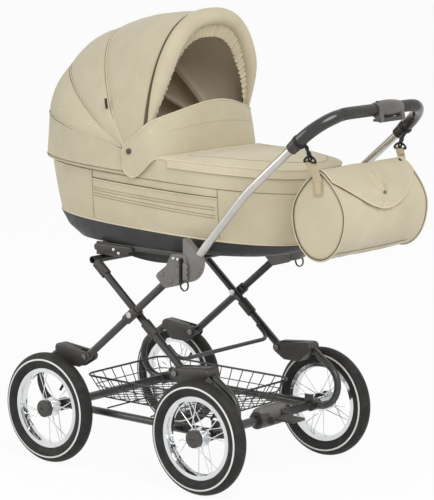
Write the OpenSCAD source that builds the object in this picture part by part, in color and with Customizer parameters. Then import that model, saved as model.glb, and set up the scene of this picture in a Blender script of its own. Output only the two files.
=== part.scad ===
// Bassinet pram: a fabric bassinet with a folding hood, on a folding chassis with four spoked wheels.
// Millimetres. +X points to the handle, -X is the way it rolls, +Z is up, -Y is its left side.
// The origin lies on the floor at the centre of the four wheels.

/* [Wheels] */
// Outside diameter of a tyre
wheel_d = 300; // [290:1:310]
// Diameter of the tyre's round section
tyre_d = 46; // [42:1:48]
// Thickness of the tyre's rubber
tyre_wall = 4.5; // [3:0.5:6]
// Distance between the front and rear axles
wheelbase = 526; // [516:1:536]
// Distance between the middles of the left and right wheels
track = 532; // [530:1:540]
// Height of the tyre above the rim
tyre_height = 41.5; // [40:0.5:44]
// Depth of the rim towards the hub
rim_depth = 14; // [12:0.5:17]
// Width of the rim
rim_w = 28; // [24:1:32]
// Thickness of the rim's metal
rim_wall = 3; // [2:0.5:4]
// Spokes on each side of a wheel
spokes_a_side = 8; // [6:1:9]
// Diameter of a spoke
spoke_d = 2.6; // [2:0.2:3]
// Diameter of the hub's barrel
hub_d = 28; // [26:1:32]
// Diameter of the hub's flanges
flange_d = 52; // [48:1:56]
// Thickness of a hub flange
flange_t = 3; // [2:0.5:4]
// Diameter of the hub cap
cap_d = 46; // [40:1:48]
// Height of the hub cap
cap_h = 12; // [10:1:14]
// Diameter of the axle's ends, on which the wheels turn
axle_pin_d = 12; // [10:0.5:14]

/* [Lower frame] */
// Diameter of the axle tubes
axle_d = 24; // [22:1:26]
// Diameter of the collars on the axles
collar_d = 34; // [32:1:38]
// Diameter of the lower rails
rail_d = 20; // [18:1:22]
// Wall of the lower rails
rail_wall = 2; // [1.5:0.5:3]
// Distance of the rails and spring arms inside the middles of the wheels
rail_in = 53; // [52:1:55]
// Wall of the sleeves in which the rails slide
sleeve_wall = 3; // [2:0.5:4]
// Length of the sleeves in which the rails slide
sleeve_len = 134; // [126:1:140]
// Diameter of the C-shaped spring arms
arm_d = 19; // [17:1:20]
// Bend radius of the spring arms
arm_bend_r = 62; // [58:1:66]
// Slope of the spring arms below the spring housings
arm_slope = 35; // [33:1:38]

/* [Legs] */
// Diameter of the crossed legs
leg_d = 20; // [18:1:20]
// Distance along a leg from its foot pivot to the crossing
leg_span = 207; // [203:1:211]
// Angle of the legs above the floor
leg_angle = 39.9; // [38.5:0.1:41]
// Height of the foot pivots above the axles
foot_rise = 148; // [146:1:152]
// Length of a rear leg past the crossing
rear_leg_over = 198; // [194:1:201]
// Length of a front leg past the crossing
front_leg_over = 180; // [176:1:184]
// Distance of the front and rear legs to each side of the rails
leg_offset = 11; // [11:0.5:12]
// Diameter of the pivot bolts
bolt_d = 10; // [8:0.5:10]
// Diameter of the cross brace
brace_d = 11; // [9:1:12]

/* [Basket] */
// Distance of the basket's rim from the axles
basket_end_gap = 30; // [26:1:43]
// Distance of the basket's rim from the rails
basket_side_gap = 53; // [43:1:63]
// Depth of the basket
basket_h = 58; // [48:1:64]
// Flare of the basket's sides
basket_flare = 28; // [20:1:34]
// Thickness of the wire
wire_d = 4; // [3:0.5:5]

/* [Handle] */
// Diameter of the handle tube
handle_d = 21; // [19:0.5:21]
// Length of the handle's lower straight part
handle_lower_len = 226; // [216:1:236]
// Angle of the handle's lower part
handle_lower_angle = 48.4; // [46:0.2:50]
// Length of the handle's upper part, from the bend to the crossbar
handle_upper_len = 320; // [312:1:330]
// Angle of the handle's upper part
handle_upper_angle = 40.5; // [39:0.1:42]
// Radius of the handle's corners
handle_corner_r = 95; // [85:1:105]
// Diameter of the grips
grip_d = 31; // [29:1:33]
// Diameter of the housing on the crossbar
control_d = 44; // [42:1:48]
// Length of the housing on the crossbar
control_len = 106; // [98:1:112]
// Distance of the housing from the crossbar's middle
control_shift = 30; // [0:1:36]

/* [Bassinet] */
// Length of the bassinet at its rim
cot_len = 892; // [880:2:894]
// Distance of the side walls from the handle's tubes
cot_gap = 20; // [20:0.5:22]
// Middle of the bassinet ahead of the wheels' centre
cot_x = 16; // [14:1:20]
// Height of the side walls
cot_h = 195; // [190:1:198]
// How far the ends lean out from the tray to the rim
end_lean = 38; // [34:1:46]
// How far the sides lean out from the tray to the rim
side_lean = 7.5; // [6:0.5:10]
// Height of the tray
tray_h = 49; // [45:1:55]
// Height of the tray's underside above the support tube's middle
tray_lift = 45.2; // [44.2:0.2:48.2]
// Fall of the rim and the seam from the head end to the foot end, for each millimetre of length
rim_fall = 0.04; // [0.03:0.005:0.045]
// Thickness of the padded side walls
wall_t = 4; // [3:0.5:5]
// Thickness of the fabric pieces
cloth_t = 2.5; // [2:0.1:2.8]
// Thickness of the mattress at its edge
mattress_t = 34; // [26:1:40]
// Crown of the apron above the rim
apron_crown = 24; // [16:1:28]
// Height of the wind flap above the rim
flap_h = 141; // [134:1:146]

/* [Hood] */
// Hood pivot, behind the wheels' centre
hood_x = -35; // [-38:1:-33]
// Height of the hood pivot above the rim
hood_rise = 11; // [10:1:13]
// How far the hood stands outside the side walls
hood_over = 4; // [3:0.5:5]
// Angle of the base seam
base_seam_angle = 168.7; // [167:0.1:170]
// How far the base seam stands past the head end
base_seam_over = 13; // [10:1:15]
// Angle of the first rib
rib_1_angle = 150.4; // [148:0.1:152]
// Reach of the first rib
rib_1_reach = 414; // [408:1:418]
// Angle of the second rib
rib_2_angle = 123.5; // [121:0.1:125]
// Reach of the second rib
rib_2_reach = 360; // [355:1:364]
// Reach of the front bow
bow_reach = 365; // [360:1:368]
// Lean of the front bow
bow_angle = 84; // [82:0.5:86]
// Diameter of the padded roll on the front bow
roll_d = 46; // [42:1:48]
// Diameter of the rib wires
rib_d = 6; // [5:0.5:6]

/* [Bag] */
// Distance of the bag's ends inside the handle's tubes
bag_in = 46; // [38:1:52]
// Width of the bag from front to back
bag_w = 160; // [150:1:164]
// Height of the bag
bag_h = 220; // [210:1:224]

/* [Hidden] */
$fn = 48;

// Clearance of a running fit, and of pieces that only meet
fit = 0.3;
// How far a cut runs past the surface that it cuts
over = 1;

// Colours
black_rubber = "#2b2a29";
black_paint = "#33322f";
dark_plastic = "#3d3a36";
grey_plastic = "#8c8a85";
chrome = "#c9cacc";
silver = "#b5b5b3";
cream = "#d4ccb6";
cream_dark = "#c2b89e";

// Wheel sizes that follow
wheel_r = wheel_d / 2;
rim_d = wheel_d - 2 * tyre_height;
tyre_r = tyre_d / 2;
tyre_mid_r = wheel_r - tyre_r;
rim_r = rim_d / 2;
rim_lip = rim_wall;
rim_in_r = rim_r - rim_depth;
tyre_seat_r = rim_r + fit;
hub_out = 18;
hub_in = 30;
flange_mid = 14;
spoke_lean = 62;
spoke_end_y = 5;
hub_bore_d = axle_pin_d + 2 * fit;
cap_edge = 3;
cap_slot_w = 4;
cap_slot_len = 16;
cap_slot_depth = 2;
wheel_x = wheelbase / 2;
wheel_y = track / 2;
rail_y = wheel_y - rail_in;
front_leg_y = rail_y + leg_offset;
rear_leg_y = rail_y - leg_offset;
axle_reach = wheel_y + hub_out - fit;
axle_shoulder = wheel_y - hub_in - fit;

// Where the wheels stand: along X, across Y, with their names
wheel_places = [[-1, -1, "front_left"], [-1, 1, "front_right"], [1, -1, "rear_left"], [1, 1, "rear_right"]];
sides = [-1, 1];

// Leg sizes that follow, in the side view as [x, z]
leg_dir = [cos(leg_angle), sin(leg_angle)];
foot_x = leg_span * leg_dir.x;
foot_z = wheel_r + foot_rise;
crossing = [0, foot_z + leg_span * leg_dir.y];
rear_leg_top = [-rear_leg_over * leg_dir.x, crossing.y + rear_leg_over * leg_dir.y];
front_leg_top = [front_leg_over * leg_dir.x, crossing.y + front_leg_over * leg_dir.y];
bolt_bore_d = bolt_d + 2 * fit;
leg_sleeve_wall = 4;
leg_sleeve_d = leg_d + 2 * leg_sleeve_wall;
leg_sleeve_len = 46;
knuckle_wall = 2;
knuckle_d = leg_d + 2 * knuckle_wall;
knuckle_w = leg_d - over;
support_d = 20;

// Spring arm route, seen from the side of the rear arm
collar_w = 24;
arm_top_back = 8;
arm_top_rise = 11;
arm_top = [wheel_x - arm_top_back, foot_z + arm_top_rise];
arm_turn = 90 - arm_slope;
arm_centre_z = wheel_r + arm_bend_r;
arm_tangent_z = arm_centre_z + arm_bend_r * sin(arm_turn);
arm_tangent_x = arm_top.x + (arm_top.y - arm_tangent_z) / tan(arm_slope);
arm_centre_x = arm_tangent_x - arm_bend_r * cos(arm_turn);
arm_steps = 12;
arm_facets = 12;
arm_route = concat(
    [[arm_top.x, arm_top.y]],
    [for (k = [0:arm_steps]) let (a = arm_turn - (arm_turn + 90) * k / arm_steps)
        [arm_centre_x + arm_bend_r * cos(a), arm_centre_z + arm_bend_r * sin(a)]],
    [[wheel_x + collar_d / 2 + fit, wheel_r]]);

// Spring housings: the round places of their outline, from the foot pivot, and its radii
housing_half_w = 25;
housing_arm_w = 14;
housing_y_in = rail_y - housing_half_w;
housing_front_in = rail_y - housing_arm_w;
housing_y_out = rail_y + housing_half_w;
housing_room = 26;
housing_slot_x = foot_x + housing_room;
housing_nose_r = 15;
housing_corner_r = 9;
housing_end_r = 14;
housing_top = 17;
housing_low = 31;
housing_low_len = 70;
housing_low_start = 24;

// Rails and sleeves
rail_end_x = wheel_x - collar_d / 2 - 2 * fit;
sleeve_end_x = wheel_x - collar_d / 2 - fit;
sleeve_d = rail_d + 2 * fit + 2 * sleeve_wall;

// Handle bracket places, measured from the top of a front leg
bracket_gap = 2 * fit + handle_d;
bracket_t = 3;
bracket_reach = [46, 48];
handle_pivot = front_leg_top + bracket_reach;
carrier_pin_back = 29;
carrier_pin_drop = 1;
carrier_pivot = handle_pivot - [carrier_pin_back, carrier_pin_drop];
pivot_boss_r = 13;
handle_foot_reach = [48, 21];
handle_foot = handle_pivot + handle_foot_reach;
bracket_inner_y = front_leg_y - bracket_gap / 2 - bracket_t;
bracket_outer_y = front_leg_y + bracket_gap / 2 + bracket_t;

// Handle route: the left half from its foot to the crossbar, then mirrored
lower_dir = [cos(handle_lower_angle), 0, sin(handle_lower_angle)];
upper_dir = [cos(handle_upper_angle), 0, sin(handle_upper_angle)];
handle_normal = [-sin(handle_upper_angle), 0, cos(handle_upper_angle)];
handle_side = [handle_foot.x, -front_leg_y, handle_foot.y];
handle_bend = handle_side + handle_lower_len * lower_dir;
bend_len = 40;
corner_start = handle_bend + (handle_upper_len - handle_corner_r) * upper_dir;
corner_centre = corner_start + [0, handle_corner_r, 0];
corner_steps = 9;
bend_steps = 4;
corner_points = [for (k = [0:corner_steps]) let (a = 90 * k / corner_steps)
    corner_centre + handle_corner_r * (sin(a) * upper_dir - cos(a) * [0, 1, 0])];
bend_points = [for (k = [0:bend_steps]) let (t = k / bend_steps)
    handle_bend - bend_len * (1 - t) * (1 - t) * lower_dir + bend_len * t * t * upper_dir];
handle_half = concat([handle_side], bend_points, corner_points);
crossbar = handle_bend + handle_upper_len * upper_dir;
tube_facets = 16;
grip_start_share = 0.646;
grip_start = handle_bend + grip_start_share * handle_upper_len * upper_dir;
// Grip from its lower end to the housing, drawn on the left for either side
function grip_half(s) = concat([grip_start], corner_points,
    [[crossbar.x, s * control_shift - control_len / 2 - fit, crossbar.z]]);

// Bassinet sizes that follow
cot_w = 2 * (front_leg_y - cot_gap);
base_len = cot_len - 2 * end_lean;
base_w = cot_w - 2 * side_lean;
tray_bottom_z = rear_leg_top.y + tray_lift;
tray_z = tray_bottom_z + tray_h;
rim_z = tray_z + cot_h;
plan_square = 2.6;
plan_count = 48;
hood_w = cot_w + 2 * hood_over;
hood_z = rim_z - rim_fall * (hood_x - cot_x) + hood_rise;
hood_half_w = hood_w / 2;
rib_square = 1.67;
seam_square = 2.46;
bow_square = 2.5;
base_seam_reach = cot_len / 2 - cot_x + hood_x + base_seam_over;
bow_foot_reach = [60, -10];
bow_foot = [hood_x, hood_z] + bow_foot_reach;
hood_count = 24;
hood_middle_back = 80;
hood_middle = [cot_x - hood_middle_back, 0, rim_z];

// Hood hinge layers, measured inwards from the bassinet's side wall
hinge_t = 3;
eye_t = 6;
eye_gap = 1;
eye_d = 16;
hinge_pin_d = 8;
hinge_plate_y = cot_w / 2 - wall_t - 5 * fit - hinge_t;
eye_y = [for (k = [0:2]) hinge_plate_y - fit - eye_t / 2 - k * (eye_t + eye_gap)];

// Bag sizes that follow
bag_len = 2 * (front_leg_y - bag_in);
hook_share = 0.68;
hook = handle_bend + hook_share * handle_upper_len * upper_dir;
bag_shift = 24;
bag_x = hook.x + bag_shift;
bag_top_drop = 78;
bag_z = hook.z - bag_top_drop - bag_h / 2;
bag_taper = 0.5;
bag_t = 3;
bag_ring = 22;
mouth_from = 50;
mouth_to = 128;
lid_gap = 1.5;
lid_hinge_angle = 140;
lid_in = 14;
lid_half_len = bag_len / 2 - lid_in;

// Joins a list of lists
function joined(lists) = [for (l = lists) each l];
// Vector of length one
function unit(v) = v / norm(v);
// Signed power, for superellipses
function power(v, e) = sign(v) * pow(abs(v), e);
// A point moved towards a centre by t
function inset(p, centre, t) = p + t * unit(centre - p);
// Points between two rows of points, with a bulge away from a centre that fades at the rows' ends
function between(a, b, t, bulge, centre) = [for (i = [0:len(a) - 1])
    let (p = a[i] * (1 - t) + b[i] * t, fade = sin(180 * i / (len(a) - 1)))
    inset(p, centre, -bulge * fade * 4 * t * (1 - t))];

// Closed loop of the bassinet's plan, at a height that falls along its length
function plan_loop(half_len, half_w, z, fall) = [for (i = [0:plan_count - 1])
    let (a = 360 * i / plan_count, x = half_len * power(cos(a), 2 / plan_square))
    [cot_x + x, half_w * power(sin(a), 2 / plan_square), z - fall * x]];
// Half width of the bassinet's plan at a place along its length
function plan_half_w(x, half_len, half_w) =
    half_w * pow(max(0, 1 - pow(abs(x - cot_x) / half_len, plan_square)), 1 / plan_square);
// Height of the rim at a place along its length
function rim_height(x) = rim_z - rim_fall * (x - cot_x);

// Arch of the hood at an angle about a foot point, from the left pivot to the right one
function arch(foot, angle, reach, half_w, square) = [for (k = [0:hood_count])
    let (a = -90 + 180 * k / hood_count, r = reach * pow(max(0, cos(a)), 2 / square))
    [foot.x + r * cos(angle), half_w * power(sin(a), 2 / square), foot.y + r * sin(angle)]];

// Ring of points about a route point, square to the way along it
function ring_on(p, along, normal, r, count) =
    let (u = unit(cross(normal, along)), v = cross(along, u))
    [for (k = [0:count - 1]) let (a = 360 * k / count) p + r * (cos(a) * u + sin(a) * v)];
function way(route, i) = unit(route[min(i + 1, len(route) - 1)] - route[max(i - 1, 0)]);
function rings_on(route, normal, radii, count) = [for (i = [0:len(route) - 1])
    ring_on(route[i], way(route, i), normal, radii[i], count)];
function mirrored(route) =
    concat(route, [for (i = [len(route) - 1:-1:0]) [route[i].x, -route[i].y, route[i].z]]);

// Solid through a row of loops, with flat ends, or closed on itself
module skin(rings, closed = false) {
    n = len(rings[0]);
    m = len(rings);
    last = closed ? m - 1 : m - 2;
    walls = [for (j = [0:last]) for (i = [0:n - 1])
        let (k = (i + 1) % n, next = (j + 1) % m * n, a = j * n + i, b = j * n + k, c = next + i, d = next + k)
        each [[a, c, d], [a, d, b]]];
    ends = closed ? [] : [[for (i = [0:n - 1]) i], [for (i = [n - 1:-1:0]) (m - 1) * n + i]];
    polyhedron(points = joined(rings), faces = concat(walls, ends));
}

// Tube along a route
module sweep(route, normal, radii, count) {
    skin(rings_on(route, normal, radii, count));
}

// Hollow tube along a route
module pipe(route, normal, r_out, r_in, count) {
    outer = rings_on(route, normal, [for (p = route) r_out], count);
    inner = rings_on(route, normal, [for (p = route) r_in], count);
    skin(concat(outer, [for (i = [len(inner) - 1:-1:0]) inner[i]]), closed = true);
}

// Thick sheet between two grids of points, open at its four edges or closed round its rows
module sheet(outer, inner, loop = false) {
    m = len(outer);
    n = len(outer[0]);
    s = m * n;
    last = loop ? n - 1 : n - 2;
    faces_out = [for (j = [0:m - 2]) for (i = [0:last])
        let (a = j * n + i, b = j * n + (i + 1) % n, c = a + n, d = b + n) each [[a, c, d], [a, d, b]]];
    faces_in = [for (f = faces_out) [f[0] + s, f[2] + s, f[1] + s]];
    low = [for (i = [0:last]) let (a = i, b = (i + 1) % n) each [[a, b, b + s], [a, b + s, a + s]]];
    top = [for (i = [0:last]) let (c = s - n + i, d = s - n + (i + 1) % n)
        each [[d, c, c + s], [d, c + s, d + s]]];
    edges = loop ? [] : [for (j = [0:m - 2]) let (a = j * n, c = a + n, b = a + n - 1, d = b + n)
        each [[c, a, a + s], [c, a + s, c + s], [b, d, d + s], [b, d + s, b + s]]];
    polyhedron(
        points = concat(joined(outer), joined(inner)),
        faces = concat(faces_out, faces_in, low, top, edges));
}

// Sheet of fabric inside a surface of points
module cloth(grid, centre, t, loop = false) {
    sheet(grid, [for (row = grid) [for (p = row) inset(p, centre, t)]], loop);
}

// Places children at a wheel, with their +Z pointing out
module at_wheel(w) {
    translate([w.x * wheel_x, w.y * wheel_y, wheel_r])
        rotate([-90 * w.y, 0, 0])
            children();
}

// Cylinder along Y through a side-view point, between two distances from the middle
module cross_pin(at, d, y_from, y_to) {
    translate([at.x, y_from, at.y])
        rotate([-90, 0, 0])
            cylinder(d = d, h = y_to - y_from);
}

// Cylinder along Y of a width about a leg's distance from the middle
module leg_pin(at, d, y, w) {
    cross_pin(at, d, y - w / 2, y + w / 2);
}

// Plate of a side-view outline, between two distances from the middle
module side_plate(y_from, y_to) {
    translate([0, y_to, 0])
        rotate([90, 0, 0])
            linear_extrude(y_to - y_from)
                children();
}

// Straight tube between two side-view points at a distance from the middle
module leg(from, to, d, y) {
    run = to - from;
    translate([from.x, y, from.y])
        rotate([0, atan2(run.x, run.y), 0])
            cylinder(d = d, h = norm(run));
}

module tyre(w) {
    bead_w = rim_w - 2 * rim_wall;
    color(black_rubber)
        at_wheel(w)
            rotate_extrude($fn = 72)
                difference() {
                    translate([tyre_mid_r, 0])
                        circle(r = tyre_r);
                    translate([tyre_mid_r, 0])
                        circle(r = tyre_r - tyre_wall);
                    translate([0, -tyre_r])
                        square([tyre_seat_r, tyre_d]);
                    translate([0, -bead_w / 2])
                        square([tyre_mid_r, bead_w]);
                }
}

module rim(w) {
    half = rim_w / 2;
    color(chrome)
        at_wheel(w)
            rotate_extrude($fn = 72)
                polygon([
                    [rim_in_r, rim_wall - half / 2],
                    [rim_in_r + rim_wall, -half],
                    [rim_r, -half],
                    [rim_r, rim_lip - half],
                    [rim_in_r + 2 * rim_wall, rim_lip - half],
                    [rim_in_r + rim_wall, rim_wall - half / 2],
                    [rim_in_r + rim_wall, half / 2 - rim_wall],
                    [rim_in_r + 2 * rim_wall, half - rim_lip],
                    [rim_r, half - rim_lip],
                    [rim_r, half],
                    [rim_in_r + rim_wall, half],
                    [rim_in_r, half / 2 - rim_wall]]);
}

module spoke(angle, z) {
    hub_r = flange_d / 2 - flange_t;
    end_r = rim_in_r - fit - spoke_d / 8;
    from = [hub_r * cos(angle), hub_r * sin(angle), z];
    to = [end_r * cos(angle + spoke_lean / 2), end_r * sin(angle + spoke_lean / 2), sign(z) * spoke_end_y];
    run = to - from;
    translate(from)
        rotate([0, acos(run.z / norm(run)), atan2(run.y, run.x)])
            cylinder(d = spoke_d, h = norm(run), $fn = 6);
}

module hub(w) {
    pitch = 360 / spokes_a_side;
    color(chrome)
        at_wheel(w)
            difference() {
                union() {
                    translate([0, 0, -hub_in])
                        cylinder(d = hub_d, h = hub_in + hub_out);
                    for (s = sides)
                        translate([0, 0, s * flange_mid - flange_t / 2])
                            cylinder(d = flange_d, h = flange_t);
                    for (s = sides, k = [0:spokes_a_side - 1])
                        mirror([0, k % 2, 0])
                            spoke(pitch * k + s * pitch / 4, s * flange_mid);
                }
                translate([0, 0, -hub_in - over])
                    cylinder(d = hub_bore_d, h = hub_in + hub_out + 2 * over);
            }
}

module hub_cap(w) {
    base_z = flange_mid + flange_t / 2 + fit;
    color(dark_plastic)
        at_wheel(w)
            translate([0, 0, base_z])
                difference() {
                    rotate_extrude()
                        polygon([
                            [0, 0], [cap_d / 2, 0], [cap_d / 2, cap_h - cap_edge],
                            [cap_d / 2 - cap_edge, cap_h], [0, cap_h]]);
                    translate([0, 0, -over])
                        cylinder(d = hub_d + 2 * fit, h = hub_out - base_z + fit + over);
                    translate([-cap_slot_len / 2, -cap_slot_w / 2, cap_h - cap_slot_depth])
                        cube([cap_slot_len, cap_slot_w, cap_slot_depth + over]);
                }
}

// Axle tube with its collars and its turned ends
module axle(x) {
    translate([x, 0, wheel_r])
        rotate([-90, 0, 0])
            union() {
                translate([0, 0, -axle_shoulder])
                    cylinder(d = axle_d, h = 2 * axle_shoulder);
                translate([0, 0, -axle_reach])
                    cylinder(d = axle_pin_d, h = 2 * axle_reach);
                for (s = sides)
                    translate([0, 0, s * rail_y - collar_w / 2])
                        cylinder(d = collar_d, h = collar_w);
            }
}

module rear_axle() {
    color(black_paint)
        axle(wheel_x);
}

module front_axle() {
    color(black_paint)
        axle(-wheel_x);
}

// A pair of spring arms behind the rear axle, or mirrored at the front one
module spring_arms(end) {
    for (s = sides)
        mirror([end < 0 ? 1 : 0, 0, 0])
            sweep(
                [for (p = arm_route) [p.x, s * rail_y, p.y]],
                [0, 1, 0], [for (p = arm_route) arm_d / 2], arm_facets);
}

module rear_spring_arms() {
    color(black_paint)
        spring_arms(1);
}

module front_spring_arms() {
    color(black_paint)
        spring_arms(-1);
}

// Covers of the suspension springs, slotted for the leg that turns in them
module spring_housings(end, leg_y, y_in) {
    slot_w = leg_d + 2 * over;
    mirror([end < 0 ? 1 : 0, 0, 0])
        for (s = sides)
            mirror([0, s < 0 ? 1 : 0, 0])
                difference() {
                    side_plate(y_in, housing_y_out)
                        hull() {
                            translate([foot_x, foot_z])
                                circle(r = housing_nose_r);
                            for (x = [foot_x + housing_low_start, foot_x + housing_low_len])
                                translate([x, foot_z - housing_low + housing_corner_r])
                                    circle(r = housing_corner_r);
                            translate([foot_x + housing_low_start, foot_z + housing_top - housing_corner_r])
                                circle(r = housing_corner_r);
                            translate(arm_top)
                                circle(r = housing_end_r);
                        }
                    translate([0, leg_y - slot_w / 2, foot_z - 2 * housing_low])
                        cube([housing_slot_x, slot_w, 4 * housing_low]);
                    cross_pin([foot_x, foot_z], bolt_bore_d, y_in - over, housing_y_out + over);
                    translate([arm_top.x, rail_y, arm_top.y])
                        rotate([0, 90 + arm_slope, 0])
                            translate([0, 0, -fit])
                                cylinder(d = arm_d + 2 * fit, h = 2 * housing_low);
                }
}

module rear_spring_housings() {
    color(dark_plastic)
        spring_housings(1, rear_leg_y, housing_y_in);
}

module front_spring_housings() {
    color(dark_plastic)
        spring_housings(-1, front_leg_y, housing_front_in);
}

bolt_head_d = 16;
bolt_head_h = 4;

// Pivot bolt along Y with a head at each end, between two distances from the middle
module pivot_bolt(at, y_from, y_to) {
    cross_pin(at, bolt_d, y_from, y_to);
    cross_pin(at, bolt_head_d, y_from - bolt_head_h, y_from);
    cross_pin(at, bolt_head_d, y_to, y_to + bolt_head_h);
}

module rear_foot_bolts() {
    color(silver)
        for (s = sides)
            mirror([0, s < 0 ? 1 : 0, 0])
                pivot_bolt([foot_x, foot_z], housing_y_in - fit, housing_y_out + fit);
}

module rail_sleeves() {
    color(black_paint)
        for (s = sides)
            translate([sleeve_end_x - sleeve_len, s * rail_y, wheel_r])
                rotate([0, 90, 0])
                    difference() {
                        cylinder(d = sleeve_d, h = sleeve_len);
                        translate([0, 0, -over])
                            cylinder(d = rail_d + 2 * fit, h = sleeve_len + 2 * over);
                    }
}

module lower_rails() {
    start_x = -wheel_x + collar_d / 2 + fit;
    run = rail_end_x - start_x;
    color(black_paint)
        for (s = sides)
            translate([start_x, s * rail_y, wheel_r])
                rotate([0, 90, 0])
                    difference() {
                        cylinder(d = rail_d, h = run);
                        translate([0, 0, -over])
                            cylinder(d = rail_d - 2 * rail_wall, h = run + 2 * over);
                    }
}

brake_from_y = -32;
brake_to_y = 88;
brake_d = 46;
pedal_gap_y = 28;
pedal_w = 52;
pedal_reach = 62;
pedal_t = 7;
pedal_pivot = [wheel_x + 34, wheel_r];
pedal_pin_d = 8;
pedal_eye_d = 16;
lug_t = 8;
cam_t = 6;
cam_len = 44;
cam_w = 26;

module brake_housing() {
    lug_y = [for (s = sides) pedal_gap_y + s * (pedal_w / 2 + fit + lug_t / 2)];
    cam_y = rail_y - collar_w / 2 - fit - cam_t;
    color(black_paint) {
        difference() {
            union() {
                cross_pin([wheel_x, wheel_r], brake_d, brake_from_y, brake_to_y);
                for (y = lug_y)
                    side_plate(y - lug_t / 2, y + lug_t / 2)
                        hull() {
                            translate([wheel_x, wheel_r])
                                circle(d = axle_d);
                            translate(pedal_pivot)
                                circle(d = pedal_eye_d);
                        }
            }
            cross_pin([wheel_x, wheel_r], axle_d + 2 * fit, brake_from_y - over, brake_to_y + over);
            translate([wheel_x + axle_d / 2 + over, pedal_gap_y - pedal_w / 2 - fit, wheel_r - brake_d])
                cube([brake_d, pedal_w + 2 * fit, 2 * brake_d]);
            cross_pin(pedal_pivot, pedal_pin_d + 2 * fit, brake_from_y - over, brake_to_y + over);
        }
        for (s = sides)
            mirror([0, s < 0 ? 1 : 0, 0])
                difference() {
                    translate([wheel_x - cam_w / 2, cam_y, wheel_r - cam_w / 2])
                        cube([cam_w, cam_t, cam_len]);
                    cross_pin([wheel_x, wheel_r], axle_d + 2 * fit, 0, rail_y);
                }
    }
}

module brake_pedal() {
    pin_half = pedal_w / 2 + fit + lug_t;
    color(dark_plastic) {
        cross_pin(pedal_pivot, pedal_pin_d, pedal_gap_y - pin_half, pedal_gap_y + pin_half);
        cross_pin(pedal_pivot, pedal_eye_d, pedal_gap_y - pedal_w / 2, pedal_gap_y + pedal_w / 2);
        translate([pedal_pivot.x, pedal_gap_y - pedal_w / 2, pedal_pivot.y])
            cube([pedal_reach, pedal_w, pedal_t]);
    }
}

// Basket of welded wire: a floor and four flared sides, each a flat grille
basket_pitch = 42;
floor_pitch = 52;
hanger_w = 6;
corner_share = 0.65;
floor_z = wheel_r + rail_d / 2 + 2 * fit + 1.5 * wire_d;
basket_slope = atan2(basket_h, basket_flare);
basket_slant = norm([basket_h, basket_flare]);

// Upright grille between a lower and an upper edge, given by their half lengths
module grille(low, top) {
    bars = round(2 * low / basket_pitch);
    function at(k, v) = let (h = low * (1 - v) + top * v) 2 * h * k / bars - h;
    inner = wire_d / basket_slant;
    translate([0, 0, -wire_d / 2])
        linear_extrude(wire_d)
            difference() {
                polygon([[-low, 0], [low, 0], [top, basket_slant], [-top, basket_slant]]);
                for (k = [0:bars - 1])
                    polygon([
                        [at(k, inner) + wire_d, wire_d], [at(k + 1, inner) - wire_d, wire_d],
                        [at(k + 1, 1 - inner) - wire_d, basket_slant - wire_d],
                        [at(k, 1 - inner) + wire_d, basket_slant - wire_d]]);
            }
}

// Floor grille of crossed wires
module floor_grille(half) {
    cols = round(half.x / floor_pitch);
    rows = round(half.y / floor_pitch);
    step = [half.x / cols, half.y / rows];
    hole = step - [wire_d, wire_d];
    linear_extrude(wire_d)
        difference() {
            square(2 * half, center = true);
            for (i = [1 - 2 * cols:2 * cols - 1], j = [1 - 2 * rows:2 * rows - 1])
                if ((i + j) % 2 == 0 && abs(i) < 2 * cols && abs(j) < 2 * rows)
                    translate([i * step.x / 2, j * step.y / 2])
                        polygon([[hole.x / 2, 0], [0, hole.y / 2], [-hole.x / 2, 0], [0, -hole.y / 2]]);
        }
}

module basket() {
    half = [wheel_x - basket_end_gap, rail_y - basket_side_gap];
    low = half - [basket_flare, basket_flare];
    side_z = floor_z + wire_d / 2 + fit;
    corner = corner_share * wire_d + fit;
    color(black_paint) {
        translate([0, 0, floor_z - wire_d / 2])
            floor_grille(low);
        for (s = sides)
            mirror([0, s < 0 ? 1 : 0, 0])
                translate([0, low.y, side_z])
                    rotate([basket_slope, 0, 0])
                        grille(low.x + wire_d / 2, half.x + wire_d / 2);
        for (s = sides)
            mirror([s < 0 ? 1 : 0, 0, 0])
                translate([low.x, 0, side_z])
                    rotate([basket_slope, 0, -90])
                        grille(low.y - corner, half.y - corner);
        for (x = [-low.x / 2, low.x / 4])
            translate([x, -rail_y, wheel_r + rail_d / 2 + fit])
                cube([hanger_w, 2 * rail_y, wire_d]);
    }
}

module rear_legs() {
    foot = [foot_x, foot_z];
    color(black_paint)
        for (s = sides)
            difference() {
                union() {
                    leg(foot, rear_leg_top, leg_d, s * rear_leg_y);
                    leg_pin(foot, knuckle_d, s * rear_leg_y, knuckle_w);
                }
                leg_pin(foot, bolt_bore_d, s * rear_leg_y, 2 * leg_d);
                leg_pin(crossing, bolt_bore_d, s * rear_leg_y, 2 * leg_d);
                leg_pin(rear_leg_top, support_d + 2 * fit, s * rear_leg_y, 2 * leg_d);
            }
}

// Sleeves on the rear legs: one under the crossing and one at the top, round the support tube
module leg_sleeves() {
    down = [leg_dir.x, -leg_dir.y];
    low_from = crossing + (leg_sleeve_d / 2 + leg_d) * down;
    top_to = rear_leg_top + (support_d / 2 + leg_sleeve_len) * down;
    top_from = rear_leg_top + (support_d / 2 + fit) * down;
    color(dark_plastic)
        for (s = sides)
            for (span = [[low_from, low_from + leg_sleeve_len * down], [top_from, top_to]])
                difference() {
                    leg(span[0], span[1], leg_sleeve_d, s * rear_leg_y);
                    leg(span[0] - over * down, span[1] + over * down, leg_d + 2 * fit, s * rear_leg_y);
                    translate([-wheelbase, s > 0 ? rear_leg_y + leg_d / 2 : -rear_leg_y - 2 * leg_d, 0])
                        cube([2 * wheelbase, 1.5 * leg_d, 2 * wheel_d + wheelbase]);
                }
}

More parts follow.
